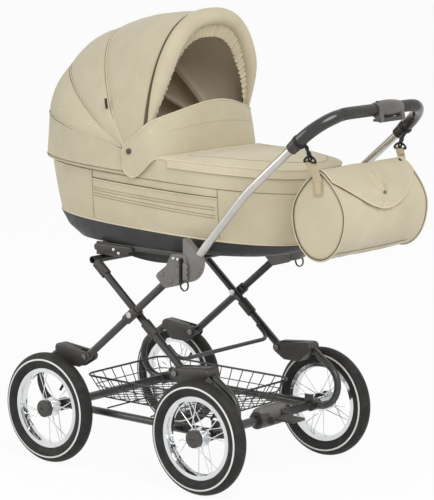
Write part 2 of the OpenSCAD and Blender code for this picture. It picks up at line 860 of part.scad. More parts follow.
module support_tube() {
    end_y = rear_leg_y + leg_d / 2;
    color(black_paint)
        difference() {
            cross_pin(rear_leg_top, support_d, -end_y, end_y);
            cross_pin(rear_leg_top, support_d - 2 * rail_wall, -end_y - over, end_y + over);
        }
}

brace_leg_share = 0.42;
brace_foot_share = 0.17;
brace_bend_r = 26;
brace_steps = 6;
brace_facets = 10;

module cross_brace() {
    y = rear_leg_y - leg_d / 2 - brace_d / 2 - fit;
    up = [-leg_dir.x, 0, leg_dir.y];
    foot = [foot_x, -y, foot_z];
    top = foot + brace_leg_share * leg_span * up;
    bend = foot + (brace_foot_share * leg_span + brace_bend_r) * up;
    centre = bend + [0, brace_bend_r, 0];
    half = concat([top], [for (k = [0:brace_steps]) let (a = 90 * k / brace_steps)
        centre - brace_bend_r * (cos(a) * [0, 1, 0] + sin(a) * up)]);
    route = mirrored(half);
    color(black_paint)
        sweep(route, [leg_dir.y, 0, leg_dir.x], [for (p = route) brace_d / 2], brace_facets);
}

// Bolts on which the front legs turn on the rear legs
module crossing_bolts() {
    inner = rear_leg_y - leg_d / 2 - fit;
    outer = front_leg_y + leg_d / 2 + fit;
    color(silver)
        for (s = sides)
            mirror([0, s < 0 ? 1 : 0, 0])
                pivot_bolt(crossing, inner, outer);
}

module front_legs() {
    foot = [-foot_x, foot_z];
    color(black_paint)
        for (s = sides)
            difference() {
                union() {
                    leg(foot, front_leg_top, leg_d, s * front_leg_y);
                    leg_pin(foot, knuckle_d, s * front_leg_y, knuckle_w);
                }
                leg_pin(foot, bolt_bore_d, s * front_leg_y, 2 * leg_d);
                leg_pin(crossing, bolt_bore_d, s * front_leg_y, 2 * leg_d);
            }
}

// Outline of a handle bracket, as shares of the bracket's reach from the top of the leg
bracket_shares = [
    [-0.88, -0.1], [-0.38, -0.55], [-0.2, -0.6], [0.47, -0.42], [0.92, -0.16], [1.26, 0.55], [1.34, 1],
    [1.2, 1.3], [0.75, 1.34], [0.22, 1.28], [0.05, 1.05], [-0.18, 0.62], [-0.82, 0.16], [-0.91, 0.02]];
guide_w = 12;
guide_h = 16;
guide_share = [0.866, 0.28];
carrier_gap = 32;
carrier_bar_y = bracket_inner_y - carrier_gap;
carrier_bar_t = 8;

module bracket_plate(y_from, y_to) {
    side_plate(y_from, y_to)
        polygon([for (p = bracket_shares) front_leg_top + [p.x * bracket_reach.x, p.y * bracket_reach.y]]);
}

// Bracket plates on each side of a front leg, with the carrier's pin and the lock bar's guide
module handle_brackets() {
    guide = front_leg_top + [guide_share.x * bracket_reach.x, guide_share.y * bracket_reach.y];
    carrier_pin_y = carrier_bar_y - carrier_bar_t - bolt_head_h;
    color(grey_plastic)
        for (s = sides)
            mirror([0, s < 0 ? 1 : 0, 0]) {
                difference() {
                    bracket_plate(bracket_inner_y, bracket_inner_y + bracket_t);
                    cross_pin(handle_pivot, bolt_bore_d, bracket_inner_y - over, bracket_outer_y + over);
                }
                cross_pin(carrier_pivot, bolt_d, carrier_pin_y, bracket_inner_y);
                difference() {
                    union() {
                        bracket_plate(bracket_outer_y - bracket_t, bracket_outer_y);
                        translate([guide.x - guide_w, bracket_outer_y, guide.y])
                            cube([guide_w, lock_t + fit, guide_h]);
                    }
                    cross_pin(handle_pivot, bolt_bore_d, bracket_inner_y - over, bracket_outer_y + over);
                }
            }
}

// Pins of the front legs' feet, and of the handle, flush outside under the lock bars
module front_pivot_bolts() {
    inner = bracket_inner_y - fit;
    color(silver)
        for (s = sides)
            mirror([0, s < 0 ? 1 : 0, 0]) {
                pivot_bolt([-foot_x, foot_z], housing_front_in - fit, housing_y_out + fit);
                cross_pin(handle_pivot, bolt_d, inner, bracket_outer_y);
                cross_pin(handle_pivot, bolt_head_d, inner - bolt_head_h, inner);
            }
}

lock_t = 5;
lock_w = 7;
lock_len = 68;
lock_rise = 8;
ring_r = 9;
ring_wire_d = 4;

// Lock bars that hold the handle, each with its pull ring
module lock_bars() {
    guide_x = front_leg_top.x + guide_share.x * bracket_reach.x;
    low = handle_pivot.y + lock_rise - lock_len;
    color(dark_plastic)
        for (s = sides)
            mirror([0, s < 0 ? 1 : 0, 0]) {
                translate([guide_x + fit, bracket_outer_y + fit, low])
                    cube([lock_w, lock_t, lock_len]);
                translate([guide_x + fit + lock_w / 2, bracket_outer_y + fit + lock_t / 2, low - ring_r])
                    rotate([90, 0, 0])
                        rotate_extrude()
                            translate([ring_r, 0])
                                circle(d = ring_wire_d);
            }
}

carrier_foot_w = 34;
carrier_h = 13;
carrier_front_share = 1.1;

// Bars that carry the bassinet: hinged on the handle brackets and resting on the support tube
module cot_carrier() {
    top = tray_bottom_z - fit;
    front_x = carrier_front_share * rear_leg_top.x;
    foot_low = rear_leg_top.y + support_d / 2 + fit;
    bar_in = carrier_bar_y - carrier_bar_t;
    eye = 2 * (top - carrier_pivot.y);
    color(grey_plastic)
        for (s = sides)
            mirror([0, s < 0 ? 1 : 0, 0])
                difference() {
                    union() {
                        translate([front_x, bar_in, top - carrier_h])
                            cube([carrier_pivot.x - front_x, carrier_bar_t, carrier_h]);
                        translate([front_x, bar_in, foot_low])
                            cube([carrier_foot_w, carrier_bar_t, top - foot_low]);
                        cross_pin(carrier_pivot, eye, bar_in, carrier_bar_y);
                    }
                    cross_pin(carrier_pivot, bolt_bore_d, bar_in - over, carrier_bar_y + over);
                }
}

sector_r = 57;

// Eye of the handle with its half-round sector plate
module handle_knuckles() {
    half_t = handle_d / 2;
    eye_from = front_leg_y - half_t;
    tip = handle_foot - fit * [lower_dir.x, lower_dir.z];
    boss = [0, pivot_boss_r - over];
    half_end = half_t * [-lower_dir.z, lower_dir.x];
    color(grey_plastic)
        for (s = sides)
            mirror([0, s < 0 ? 1 : 0, 0]) {
                difference() {
                    side_plate(eye_from, front_leg_y + half_t)
                        union() {
                            translate(handle_pivot)
                                circle(r = pivot_boss_r);
                            polygon([handle_pivot + boss, handle_pivot - boss, tip - half_end, tip + half_end]);
                            difference() {
                                translate(handle_pivot)
                                    circle(r = sector_r);
                                translate(handle_pivot - [2 * sector_r, 2 * sector_r])
                                    square([2 * sector_r, 4 * sector_r]);
                                translate([tip.x, tip.y])
                                    rotate(handle_lower_angle)
                                        translate([0, -2 * sector_r])
                                            square(4 * sector_r);
                            }
                        }
                    cross_pin(handle_pivot, bolt_bore_d, eye_from - over, front_leg_y + half_t + over);
                }
            }
}

module handle_tube() {
    route = mirrored(handle_half);
    color(silver)
        sweep(route, handle_normal, [for (p = route) handle_d / 2], tube_facets);
}

module handle_grips() {
    color(black_rubber)
        for (s = sides)
            mirror([0, s > 0 ? 1 : 0, 0])
                pipe(grip_half(-s), handle_normal, grip_d / 2, handle_d / 2 + fit, tube_facets);
}

lever_len = 74;
lever_t = 6;
lever_reach = 30;
lever_drop = 9;
lever_pin_d = 6;
lever_eye_d = 12;
lever_in = 6;
lever_under = 3;
lever_pivot = [crossbar.x + control_d / 2 - lever_in, crossbar.z - control_d / 2 - lever_under];

// Housing of the fold release, off the crossbar's middle
module handle_control() {
    half = control_len / 2;
    color(dark_plastic)
        translate([0, control_shift, 0])
            difference() {
                union() {
                    cross_pin([crossbar.x, crossbar.z], control_d, -half, half);
                    for (s = sides)
                        mirror([0, s < 0 ? 1 : 0, 0])
                            side_plate(lever_len / 2 + fit, half)
                                hull() {
                                    translate([crossbar.x, crossbar.z])
                                        circle(d = control_d);
                                    translate(lever_pivot)
                                        circle(d = lever_eye_d);
                                }
                }
                cross_pin([crossbar.x, crossbar.z], handle_d + 2 * fit, -half - over, half + over);
                cross_pin(lever_pivot, lever_pin_d + 2 * fit, -half - over, half + over);
                translate([lever_pivot.x - lever_eye_d, -lever_len / 2 - fit, lever_pivot.y - lever_eye_d])
                    cube([2 * lever_eye_d, lever_len + 2 * fit, lever_eye_d + lever_drop]);
            }
}

module release_lever() {
    half = control_len / 2;
    color(black_rubber)
        translate([0, control_shift, 0]) {
            cross_pin(lever_pivot, lever_pin_d, -half, half);
            cross_pin(lever_pivot, lever_eye_d, -lever_len / 2, lever_len / 2);
            translate([lever_pivot.x - lever_reach, -lever_len / 2, lever_pivot.y - lever_eye_d / 2])
                cube([lever_reach, lever_len, lever_t]);
        }
}

// Point on the bag's section, as a drop shape that narrows to its top
function bag_point(angle, grow) = [
    bag_x + (bag_w / 2 + grow) * cos(angle) * (1 - bag_taper * pow(max(0, sin(angle)), 2)),
    bag_z + (bag_h / 2 + grow) * sin(angle)];

module bag_body() {
    run = 360 - (mouth_to - mouth_from);
    end_y = bag_len / 2 - bag_t - fit;
    ring = [for (k = [0:bag_ring]) mouth_to + run * k / bag_ring];
    stations = [for (k = [-2:2]) end_y * k / 2];
    color(cream) {
        sheet(
            [for (a = ring) let (p = bag_point(a, 0)) [for (y = stations) [p.x, y, p.y]]],
            [for (a = ring) let (p = bag_point(a, -bag_t)) [for (y = stations) [p.x, y, p.y]]]);
        for (s = sides)
            mirror([0, s < 0 ? 1 : 0, 0])
                side_plate(bag_len / 2 - bag_t, bag_len / 2)
                    polygon([for (k = [0:2 * bag_ring - 1]) bag_point(180 * k / bag_ring, 0)]);
    }
}

strap_w = 22;
strap_t = 3;
hook_w = 5;
hook_ring_d = 5;
hook_room = 4;
hook_gap = 0.8;
hook_clear = 3.4;
hook_turn = 45;
d_ring_back = 16;
d_ring_out = 13;
d_ring_rise = 26;

// Straps with snap hooks that hang the bag on rings round the handle
module bag_straps() {
    ring_in_r = grip_d / 2 + hook_room;
    ring_mid_r = ring_in_r + hook_ring_d / 2;
    centre = hook - (hook_room - hook_gap) * handle_normal;
    out = sin(hook_turn) * [0, 1, 0] - cos(hook_turn) * handle_normal;
    low = centre + (ring_mid_r + hook_ring_d / 2 + hook_clear) * out;
    d_ring = [bag_x - d_ring_back, -bag_len / 2 - d_ring_out, bag_z + bag_h / 2 + d_ring_rise];
    strap_y = bag_len / 2 + fit;
    strap_low = bag_z + bag_h / 4;
    strap_top = strap_low + bag_h / 6;
    color(cream_dark)
        for (s = sides)
            mirror([0, s > 0 ? 1 : 0, 0]) {
                translate(centre)
                    rotate([0, 90 - handle_upper_angle, 0])
                        rotate_extrude()
                            translate([ring_mid_r, 0])
                                circle(d = hook_ring_d);
                hull() {
                    translate(low - [hook_w, strap_t, strap_t] / 2)
                        cube([hook_w, strap_t, strap_t]);
                    translate(d_ring - [hook_w / 2, 0, 0])
                        cube([hook_w, strap_t, strap_t]);
                }
                hull() {
                    translate(d_ring - [strap_w / 2, 0, 0])
                        cube([strap_w, strap_t, strap_t]);
                    translate([bag_x - strap_w / 2, -strap_y - strap_t, strap_top])
                        cube([strap_w, strap_t, strap_t]);
                }
                translate([bag_x - strap_w / 2, -strap_y - strap_t, strap_low])
                    cube([strap_w, strap_t, strap_top - strap_low + strap_t]);
            }
}

lid_turn = 134;
lid_turn_edge = 90;
lid_steps = 12;
lid_stations = 16;

// Flap of the bag, longer in the middle than at its ends
module bag_lid() {
    grow = bag_t / 2 + lid_gap;
    hinge = bag_point(lid_hinge_angle, fit + bag_t / 2);
    stations = [for (k = [0:lid_stations]) -lid_half_len + 2 * lid_half_len * k / lid_stations];
    function turn(y) = lid_turn_edge + (lid_turn - lid_turn_edge) * cos(90 * y / lid_half_len);
    function row(t, g) = [for (y = stations)
        let (p = bag_point(lid_hinge_angle - turn(y) * t, g)) [p.x, y, p.y]];
    color(cream) {
        sheet(
            [for (k = [lid_steps:-1:0]) row(k / lid_steps, grow + bag_t)],
            [for (k = [lid_steps:-1:0]) row(k / lid_steps, grow)]);
        cross_pin(hinge, bag_t, -lid_half_len, lid_half_len);
    }
}

tray_lip = 3;
tray_t = 4;
tray_bottom_share = 0.83;
tray_bottom_w_share = 0.9;
tray_mid_share = 0.935;
tray_mid_w_share = 0.965;
tray_mid_z_share = 0.42;

// Tray that closes the bassinet below
module tray() {
    half = [base_len / 2 + tray_lip, base_w / 2 + tray_lip];
    mid_z = tray_bottom_z + tray_mid_z_share * (tray_z - tray_bottom_z);
    function loop(share, w_share, z, t, fall) =
        plan_loop(half.x * share - t, half.y * w_share - t, z, fall);
    color(grey_plastic)
        skin([
            loop(tray_bottom_share, tray_bottom_w_share, tray_bottom_z, 0, 0),
            loop(tray_mid_share, tray_mid_w_share, mid_z, 0, rim_fall / 2),
            loop(1, 1, tray_z, 0, rim_fall),
            loop(1, 1, tray_z, tray_t, rim_fall),
            loop(tray_mid_share, tray_mid_w_share, mid_z, tray_t, rim_fall / 2),
            loop(tray_bottom_share, tray_bottom_w_share, tray_bottom_z + tray_t, tray_t, 0)]);
}

rocker_len = 400;
rocker_gap = 20;
rocker_w = 2 * (carrier_bar_y - carrier_bar_t - rocker_gap);
rocker_drop = 41;
rocker_x = 20;

// Curved rocker under the tray
module rocker_base() {
    radius = (pow(rocker_len / 2, 2) + pow(rocker_drop, 2)) / (2 * rocker_drop);
    centre = [rocker_x, tray_bottom_z - rocker_drop + radius];
    half = rocker_w / 2;
    color(grey_plastic)
        difference() {
            cross_pin(centre, 2 * radius, -half, half, $fn = 240);
            cross_pin(centre, 2 * (radius - tray_t), tray_t - half, half - tray_t, $fn = 240);
            translate([rocker_x - 2 * radius, -rocker_w, tray_bottom_z - fit])
                cube([4 * radius, 2 * rocker_w, 3 * radius]);
        }
}

// Padded side walls of the bassinet
module body_shell() {
    levels = 4;
    bulge = 5;
    function loop(t, inward) =
        let (out = bulge * 4 * t * (1 - t) - inward)
        plan_loop(
            (base_len * (1 - t) + cot_len * t) / 2 + out,
            (base_w * (1 - t) + cot_w * t) / 2 + out / 2 - inward / 2,
            (tray_z + fit) * (1 - t) + rim_z * t, rim_fall);
    color(cream)
        sheet(
            [for (k = [0:levels]) loop(k / levels, 0)],
            [for (k = [0:levels]) loop(k / levels, wall_t)], loop = true);
}

mattress_crown = 12;
mattress_edge = 10;

// Mattress with a crown and drawn-in sides
module mattress() {
    half = [base_len / 2 * tray_bottom_share - 3 * tray_t, base_w / 2 * tray_bottom_w_share - 3 * tray_t];
    low = tray_bottom_z + tray_t + fit;
    color(cream)
        skin([
            plan_loop(half.x - mattress_edge, half.y - mattress_edge, low, 0),
            plan_loop(half.x, half.y, low + mattress_edge, 0),
            plan_loop(half.x - mattress_edge / 4, half.y - mattress_edge / 4, low + mattress_t / 2, 0),
            plan_loop(half.x, half.y, low + mattress_t - mattress_edge, 0),
            plan_loop(half.x - mattress_edge, half.y - mattress_edge, low + mattress_t, 0),
            plan_loop(half.x / 2, half.y / 2, low + mattress_t + mattress_crown, 0)]);
}

flap_back = 7;
flap_len = 144;
flap_start_x = hood_x - flap_back;
flap_front_gap = 6;
apron_start = flap_start_x + flap_len + flap_front_gap;
apron_start_share = 0.25;
apron_rows = 12;
apron_cols = 14;
apron_skirt = 17;
apron_off = 2.5;
apron_lift = 4;
apron_end_share = 0.9995;

// Cover over the foot end, with a skirt outside the rim
module apron() {
    half = [cot_len / 2 + apron_off, cot_w / 2 + apron_off];
    end_x = cot_x + half.x * apron_end_share;
    middle = [(apron_start + end_x) / 2, 0, tray_bottom_z];
    function edge_z(x) = rim_height(x) + apron_lift;
    function top_row(x, fade) =
        let (h = plan_half_w(x, half.x, half.y))
        concat(
            [[x, -h - fit, edge_z(x) - apron_skirt - apron_lift]],
            [for (k = [0:apron_cols]) let (v = 2 * k / apron_cols - 1)
                [x, h * v, edge_z(x) + apron_crown * fade * (1 - pow(abs(v), 3))]],
            [[x, h + fit, edge_z(x) - apron_skirt - apron_lift]]);
    xs = [for (k = [0:apron_rows]) apron_start + (end_x - apron_start) * sin(90 * k / apron_rows)];
    function rise(t) = apron_start_share + (1 - apron_start_share) * sin(min(90, 270 * t));
    rows = [for (k = [0:apron_rows]) let (t = k / apron_rows) top_row(xs[k], rise(t) * (1 - pow(t, 3)))];
    hem_z = edge_z(end_x) - apron_skirt - apron_lift;
    end_row = [for (p = rows[apron_rows]) [end_x + apron_off / 2, p.y, hem_z]];
    color(cream)
        cloth(concat(rows, [end_row]), middle, cloth_t);
}

// Lower and upper edges of the wind flap from its left wing to its middle: places as shares of its
// length and half width, and heights over the rim as shares of its height
flap_off = 9.4;
flap_low_shares = [
    [0, 1, -0.08], [0.04, 1, -0.3], [0.15, 1, -0.385], [0.28, 1, -0.41], [0.43, 1, -0.32],
    [0.6, 0.998, -0.155], [0.75, 0.975, 0.002], [0.88, 0.87, 0.03], [0.965, 0.703, 0.02],
    [0.993, 0.469, 0.003], [1, 0.234, -0.01], [1, 0, -0.018]];
flap_top_shares = [
    [0, 1, -0.025], [0.055, 1, 0.165], [0.175, 1, 0.267], [0.333, 1, 0.38], [0.458, 0.998, 0.484],
    [0.55, 0.99, 0.587], [0.64, 0.966, 0.662], [0.75, 0.843, 0.745], [0.854, 0.6, 0.841],
    [0.931, 0.38, 0.929], [0.979, 0.19, 0.981], [1, 0, 1]];
flap_rows = 4;
flap_bulge = 4;

// Curtain across the hood's mouth, with wings that wrap the hood's sides
module wind_flap() {
    half = cot_w / 2 + flap_off;
    last = len(flap_low_shares) - 1;
    middle = [flap_start_x, 0, rim_z + flap_h / 3];
    function place(p, side) =
        let (x = flap_start_x + flap_len * p.x) [x, side * half * p.y, rim_height(x) + flap_h * p.z];
    function column(i, side, t) =
        let (swell = flap_bulge * i / last * 4 * t * (1 - t))
        place(flap_low_shares[i], side) * (1 - t) + place(flap_top_shares[i], side) * t + [swell, 0, 0];
    color(cream)
        cloth([for (k = [0:flap_rows]) let (t = k / flap_rows)
            concat(
                [for (i = [0:last]) column(i, -1, t)],
                [for (i = [last - 1:-1:0]) column(i, 1, t)])],
            middle, cloth_t);
}

band_drop = 52;
band_extra = 1;
band_t = cloth_t + band_extra;

// Fixed band at the head end, between the rim and the hood's base seam
module hood_base() {
    top = arch([hood_x, hood_z], base_seam_angle, base_seam_reach, hood_half_w, seam_square);
    plan = arch([hood_x, hood_z], 180, base_seam_reach + cloth_t, hood_half_w + cloth_t, seam_square);
    low = [for (p = plan) [p.x, p.y, rim_height(p.x) - band_drop]];
    color(cream)
        cloth([for (t = [0, 0.35, 0.7, 1]) between(low, top, t, 0, hood_middle)], hood_middle, band_t);
}

seam_gap = 0.4;
panel_rows = 4;

function seam_arch(angle, reach, square) = arch([hood_x, hood_z], angle, reach, hood_half_w, square);
base_arch = seam_arch(base_seam_angle, base_seam_reach, seam_square);
rib_1_arch = seam_arch(rib_1_angle, rib_1_reach, rib_square);
rib_2_arch = seam_arch(rib_2_angle, rib_2_reach, rib_square);
bow_arch = arch(bow_foot, bow_angle, bow_reach, hood_half_w - cloth_t, bow_square);

// Panel of hood fabric between two seams, kept a seam's gap from both
module hood_panel(from, to, bulge) {
    gap_share = seam_gap / norm(to[hood_count / 2] - from[hood_count / 2]);
    color(cream)
        cloth([for (k = [0:panel_rows])
            let (t = gap_share + (1 - 2 * gap_share) * k / panel_rows,
                row = between(from, to, t, bulge, hood_middle))
            [for (i = [1:hood_count - 1]) row[i]]], hood_middle, cloth_t);
}

panel_bulge = 10;

module hood_panel_back() {
    hood_panel(base_arch, rib_1_arch, panel_bulge);
}

module hood_panel_middle() {
    hood_panel(rib_1_arch, rib_2_arch, panel_bulge);
}

module hood_panel_front() {
    hood_panel(rib_2_arch, bow_arch, panel_bulge);
}

rib_inset = 9;
rib_facets = 8;

// Wire rib with an eye at each end
module hood_rib(angle, reach, layer) {
    y = eye_y[layer];
    full = arch([hood_x, hood_z], angle, reach - rib_inset, y, rib_square);
    route = [for (i = [1:hood_count - 1]) full[i]];
    normal = [-sin(angle), 0, cos(angle)];
    color(silver) {
        sweep(route, normal, [for (p = route) rib_d / 2], rib_facets);
        for (s = sides)
            difference() {
                union() {
                    cross_pin([hood_x, hood_z], eye_d, s * y - eye_t / 2, s * y + eye_t / 2);
                    rib_stub(full, s, angle);
                }
                cross_pin([hood_x, hood_z], hinge_pin_d + 2 * fit, s * y - eye_t, s * y + eye_t);
            }
    }
}

// Flat strip from a rib's eye to the start of its wire
module rib_stub(full, s, angle) {
    near = full[1];
    reach = norm([near.x - hood_x, near.z - hood_z]);
    y = abs(full[0].y);
    strip_t = eye_t - over;
    translate([hood_x, s * y - strip_t / 2, hood_z])
        rotate([0, -angle, 0])
            translate([0, 0, -rib_d / 2])
                cube([reach - 2 * fit, strip_t, rib_d]);
}

module hood_rib_back() {
    hood_rib(rib_1_angle, rib_1_reach, 0);
}

module hood_rib_middle() {
    hood_rib(rib_2_angle, rib_2_reach, 1);
}

roll_taper = 0.2;
roll_swell = 432;
roll_facets = 12;
arm_strip_h = 8;
pad_len = 10;

// Padded roll of the front bow, thin at its ends, on a strip at each hinge
module hood_bow() {
    half_w = hood_half_w - cloth_t - roll_d / 8;
    seam = arch(bow_foot, bow_angle, bow_reach - roll_d / 4, half_w, bow_square);
    radii = [for (k = [0:hood_count]) let (a = roll_swell * min(k, hood_count - k) / hood_count)
        roll_d / 2 * (roll_taper + (1 - roll_taper) * pow(sin(min(90, a)), 2))];
    route = [for (k = [0:hood_count]) seam[k] + [radii[k], 0, 0]];
    end_r = radii[0];
    end_x = bow_foot.x + end_r;
    y = eye_y[2];
    color(cream) {
        sweep(route, [-sin(bow_angle), 0, cos(bow_angle)], radii, roll_facets);
        for (s = sides)
            mirror([0, s < 0 ? 1 : 0, 0])
                difference() {
                    union() {
                        cross_pin([hood_x, hood_z], eye_d, y - eye_t / 2, y + eye_t / 2);
                        translate([hood_x, y - eye_t / 2, hood_z - eye_d / 2])
                            cube([end_x + pad_len / 2 - hood_x, eye_t, arm_strip_h]);
                        translate([end_x - pad_len / 2, y - eye_t / 2, hood_z - eye_d / 2])
                            cube([pad_len, half_w - end_r - over - y + eye_t / 2, arm_strip_h]);
                    }
                    cross_pin([hood_x, hood_z], hinge_pin_d + 2 * fit, y - eye_t, y + eye_t);
                }
    }
}

hinge_plate_w = 18;
snap_d = 15;
snap_h = 3;
snap_shift = [18, -2];
hinge_plate_low = 40;

// Hinge plates of the hood inside the side walls, with the snaps outside the wind flap
module hood_hinges() {
    pin_from = eye_y[2] - eye_t / 2 - fit;
    snap_y = cot_w / 2 + flap_off + fit;
    snap_at = [hood_x, hood_z] + snap_shift;
    color(dark_plastic)
        for (s = sides)
            mirror([0, s < 0 ? 1 : 0, 0]) {
                cross_pin([hood_x, hood_z], hinge_pin_d, pin_from, hinge_plate_y + hinge_t);
                cross_pin([hood_x, hood_z], hinge_plate_w, hinge_plate_y, hinge_plate_y + hinge_t);
                translate([hood_x - hinge_plate_w / 2, hinge_plate_y, hood_z - hinge_plate_low])
                    cube([hinge_plate_w, hinge_t, hinge_plate_low]);
                cross_pin(snap_at, snap_d, snap_y, snap_y + snap_h);
            }
}

for (w = wheel_places) {
    tyre(w);
    rim(w);
    hub(w);
    hub_cap(w);
}
rear_axle();
rear_spring_arms();
rear_spring_housings();
rail_sleeves();
rear_foot_bolts();
brake_housing();
brake_pedal();
front_axle();
front_spring_arms();
front_spring_housings();
lower_rails();
basket();
rear_legs();
leg_sleeves();
support_tube();
cross_brace();
crossing_bolts();
front_legs();
handle_brackets();
front_pivot_bolts();
cot_carrier();
handle_knuckles();
handle_tube();
handle_grips();
handle_control();
release_lever();
lock_bars();
bag_body();
bag_straps();
bag_lid();
tray();
rocker_base();
body_shell();
mattress();
apron();
wind_flap();
hood_base();
hood_hinges();
hood_panel_back();
hood_rib_back();
hood_panel_middle();
hood_rib_middle();
hood_panel_front();
hood_bow();
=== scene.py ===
import math

import bmesh
import bpy
import numpy as np
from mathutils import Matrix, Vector, noise


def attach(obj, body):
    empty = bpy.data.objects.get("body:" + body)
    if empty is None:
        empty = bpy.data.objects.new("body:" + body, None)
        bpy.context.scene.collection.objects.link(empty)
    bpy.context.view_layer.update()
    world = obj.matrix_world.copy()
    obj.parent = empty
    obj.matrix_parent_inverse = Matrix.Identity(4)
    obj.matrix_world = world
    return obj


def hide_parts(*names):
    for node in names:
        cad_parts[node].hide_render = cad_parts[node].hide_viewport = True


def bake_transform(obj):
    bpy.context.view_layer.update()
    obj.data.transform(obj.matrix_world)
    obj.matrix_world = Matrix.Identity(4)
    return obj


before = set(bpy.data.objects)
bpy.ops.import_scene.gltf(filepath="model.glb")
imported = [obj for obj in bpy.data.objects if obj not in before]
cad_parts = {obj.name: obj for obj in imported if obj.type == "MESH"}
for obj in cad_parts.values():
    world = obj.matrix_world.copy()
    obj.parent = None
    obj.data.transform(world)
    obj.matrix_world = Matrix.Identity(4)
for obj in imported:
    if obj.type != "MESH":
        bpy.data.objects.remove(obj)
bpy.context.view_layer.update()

MM = 0.001
SIDES = (-1, 1)
HANDS = ((-1, "left"), (1, "right"))

# Sizes that repeat the CAD source, in millimetres and degrees; a pair of numbers is x and z
WHEEL_X, WHEEL_Y, WHEEL_R = 263.0, 266.0, 150.0
TYRE_R, TYRE_MID_R, RIM_IN_R = 23.0, 127.0, 94.5
RAIL_Y = 213.0
FRONT_LEG_Y, REAR_LEG_Y, LEG_R, LEG_ANGLE = 224.0, 202.0, 10.0, 39.9
FOOT = (158.80, 298.0)
HOUSING_Y, BRACKET_Y = 238.0, 237.8
COT_X, COT_HALF_LEN, COT_HALF_W = 16.0, 446.0, 204.0
BASE_HALF_LEN, BASE_HALF_W = 408.0, 196.5
TRAY_Z, TRAY_BOTTOM_Z, RIM_Z, RIM_FALL = 651.99, 602.99, 846.99, 0.04
PLAN_POWER = 2.6
HINGE = (-35.0, 860.03)
HOOD_HALF_W = 208.0
HOOD_MIDDLE = np.array([-64.0, 0.0, RIM_Z])
BOW_FOOT = (25.0, 850.03)
BOW_ANGLE, BOW_REACH, BOW_POWER, BOW_HALF_W = 84.0, 365.0, 2.5, 205.5
# Angle, reach and squareness of the hood's base seam and its two ribs
BASE_SEAM = (168.7, 408.0, 2.46)
RIB_1 = (150.4, 414.0, 1.67)
RIB_2 = (123.5, 360.0, 1.67)
FLAP_X, FLAP_LEN, FLAP_H, FLAP_HALF_W = -42.0, 144.0, 141.0, 213.4
HANDLE_BEND = (382.14, 784.24)
UPPER_ANGLE, UPPER_LEN, GRIP_R, CORNER_R = 40.5, 320.0, 15.5, 95.0
BAG_X, BAG_Z = 571.6, 737.56
BAG_HALF_W, BAG_HALF_H, BAG_HALF_LEN, BAG_TAPER = 80.0, 110.0, 178.0, 0.5
LID_ANGLE, LID_TURN, LID_TURN_EDGE, LID_HALF_LEN = 140.0, 134.0, 90.0, 172.5
HOOK = np.array([547.60, 0.0, 925.56])

# Body of the small pieces, and a material slot name that piece() takes but does not use
ON_COT, ON_BOW, ON_BAG, ON_LID = (
    (body, "cream_fabric") for body in ("bassinet", "hood_front", "bag", "bag_lid"))
ON_HANDLE = ("handle", "dark_plastic")

# Shape.grid fills neither end of a run of rows, the last, or both
NEITHER, LAST, BOTH = (False, False), (False, True), (True, True)
STITCH_LEN, STITCH_GAP = 3.4, 1.5
CLOTH_FRAMES = 20


# Vectors and curves

def vec(x=0.0, y=0.0, z=0.0):
    return np.array([x, y, z], float)


def xyz(x, y, z):
    """Points from three coordinates, each an array or one number for all."""
    return np.stack(np.broadcast_arrays(x, y, z), -1).astype(float)


def unit(v):
    v = np.asarray(v, float)
    return v / np.maximum(np.linalg.norm(v, axis=-1, keepdims=True), 1e-9)


def cosd(a):
    return np.cos(np.radians(a))


def sind(a):
    return np.sin(np.radians(a))


def power(v, e):
    return np.sign(v) * np.abs(v) ** e


def bell(v, width):
    return np.exp(-(v / width) ** 2)


def hump(t):
    """0 at both ends of a run from 0 to 1, and 1 in its middle."""
    return 4 * t * (1 - t)


def turns(count):
    """Even steps of a full turn, in degrees."""
    return np.linspace(0, 360, count, endpoint=False)


def circle(count):
    return np.stack([cosd(turns(count)), sind(turns(count))], 1)


def square_to(axis):
    """Direction at right angles to an axis, upwards unless the axis is upright."""
    ref = vec(z=1) if abs(axis[2]) < 0.9 else vec(1)
    return unit(ref - ref @ axis * axis)


def inset(points, centre, depth):
    """Points moved towards a centre, by one depth or by one for each point."""
    return points + np.asarray(depth)[..., None] * unit(centre - points)


def mirrored(points):
    return np.asarray(points, float) * vec(1, -1, 1)


def spaced(points, per):
    """Catmull-Rom curve through points, with per even steps between each two of them."""
    p = np.asarray(points, float)
    ext = np.vstack([2 * p[0] - p[1], p, 2 * p[-1] - p[-2]])
    t = np.linspace(0, 1, per, endpoint=False)[:, None]
    out = []
    for a, b, c, d in zip(ext, ext[1:], ext[2:], ext[3:]):
        out.append(0.5 * (2 * b + (c - a) * t + (2 * a - 5 * b + 4 * c - d) * t ** 2
                          + (3 * b - a - 3 * c + d) * t ** 3))
    return np.vstack(out + [p[-1:]])


def resample(points, count):
    """Points at count even steps of a line's length."""
    p = np.asarray(points, float)
    s = np.concatenate([[0], np.cumsum(np.linalg.norm(np.diff(p, axis=0), axis=1))])
    at = np.linspace(0, s[-1], count)
    return np.stack([np.interp(at, s, column) for column in p.T], 1)


def smooth_curve(points, count):
    return resample(spaced(points, 24), count)


def closed_loop(corners, count):
    """Points at even steps round a closed outline."""
    return resample([*corners, corners[0]], count + 1)[:-1]


def length_of(points):
    return float(np.linalg.norm(np.diff(np.asarray(points, float), axis=0), axis=1).sum())


def on_grid(rows, j, k):
    """Point of a grid of points at a row and a column that needn't be whole."""
    j0, k0 = int(j), int(k)
    a, b = (row[k0] + (row[k0 + 1] - row[k0]) * (k - k0) for row in rows[j0:j0 + 2])
    return a + (b - a) * (j - j0)


def swell(points, scale, seed, depth=1.0):
    """Smooth noise, about -depth to depth, at each point of an array."""
    points = np.asarray(points, float)
    made = [noise.noise(Vector(p)) for p in points.reshape(-1, 3) / scale + seed]
    return depth * np.array(made).reshape(points.shape[:-1])


def rim_height(x):
    return RIM_Z - RIM_FALL * (x - COT_X)


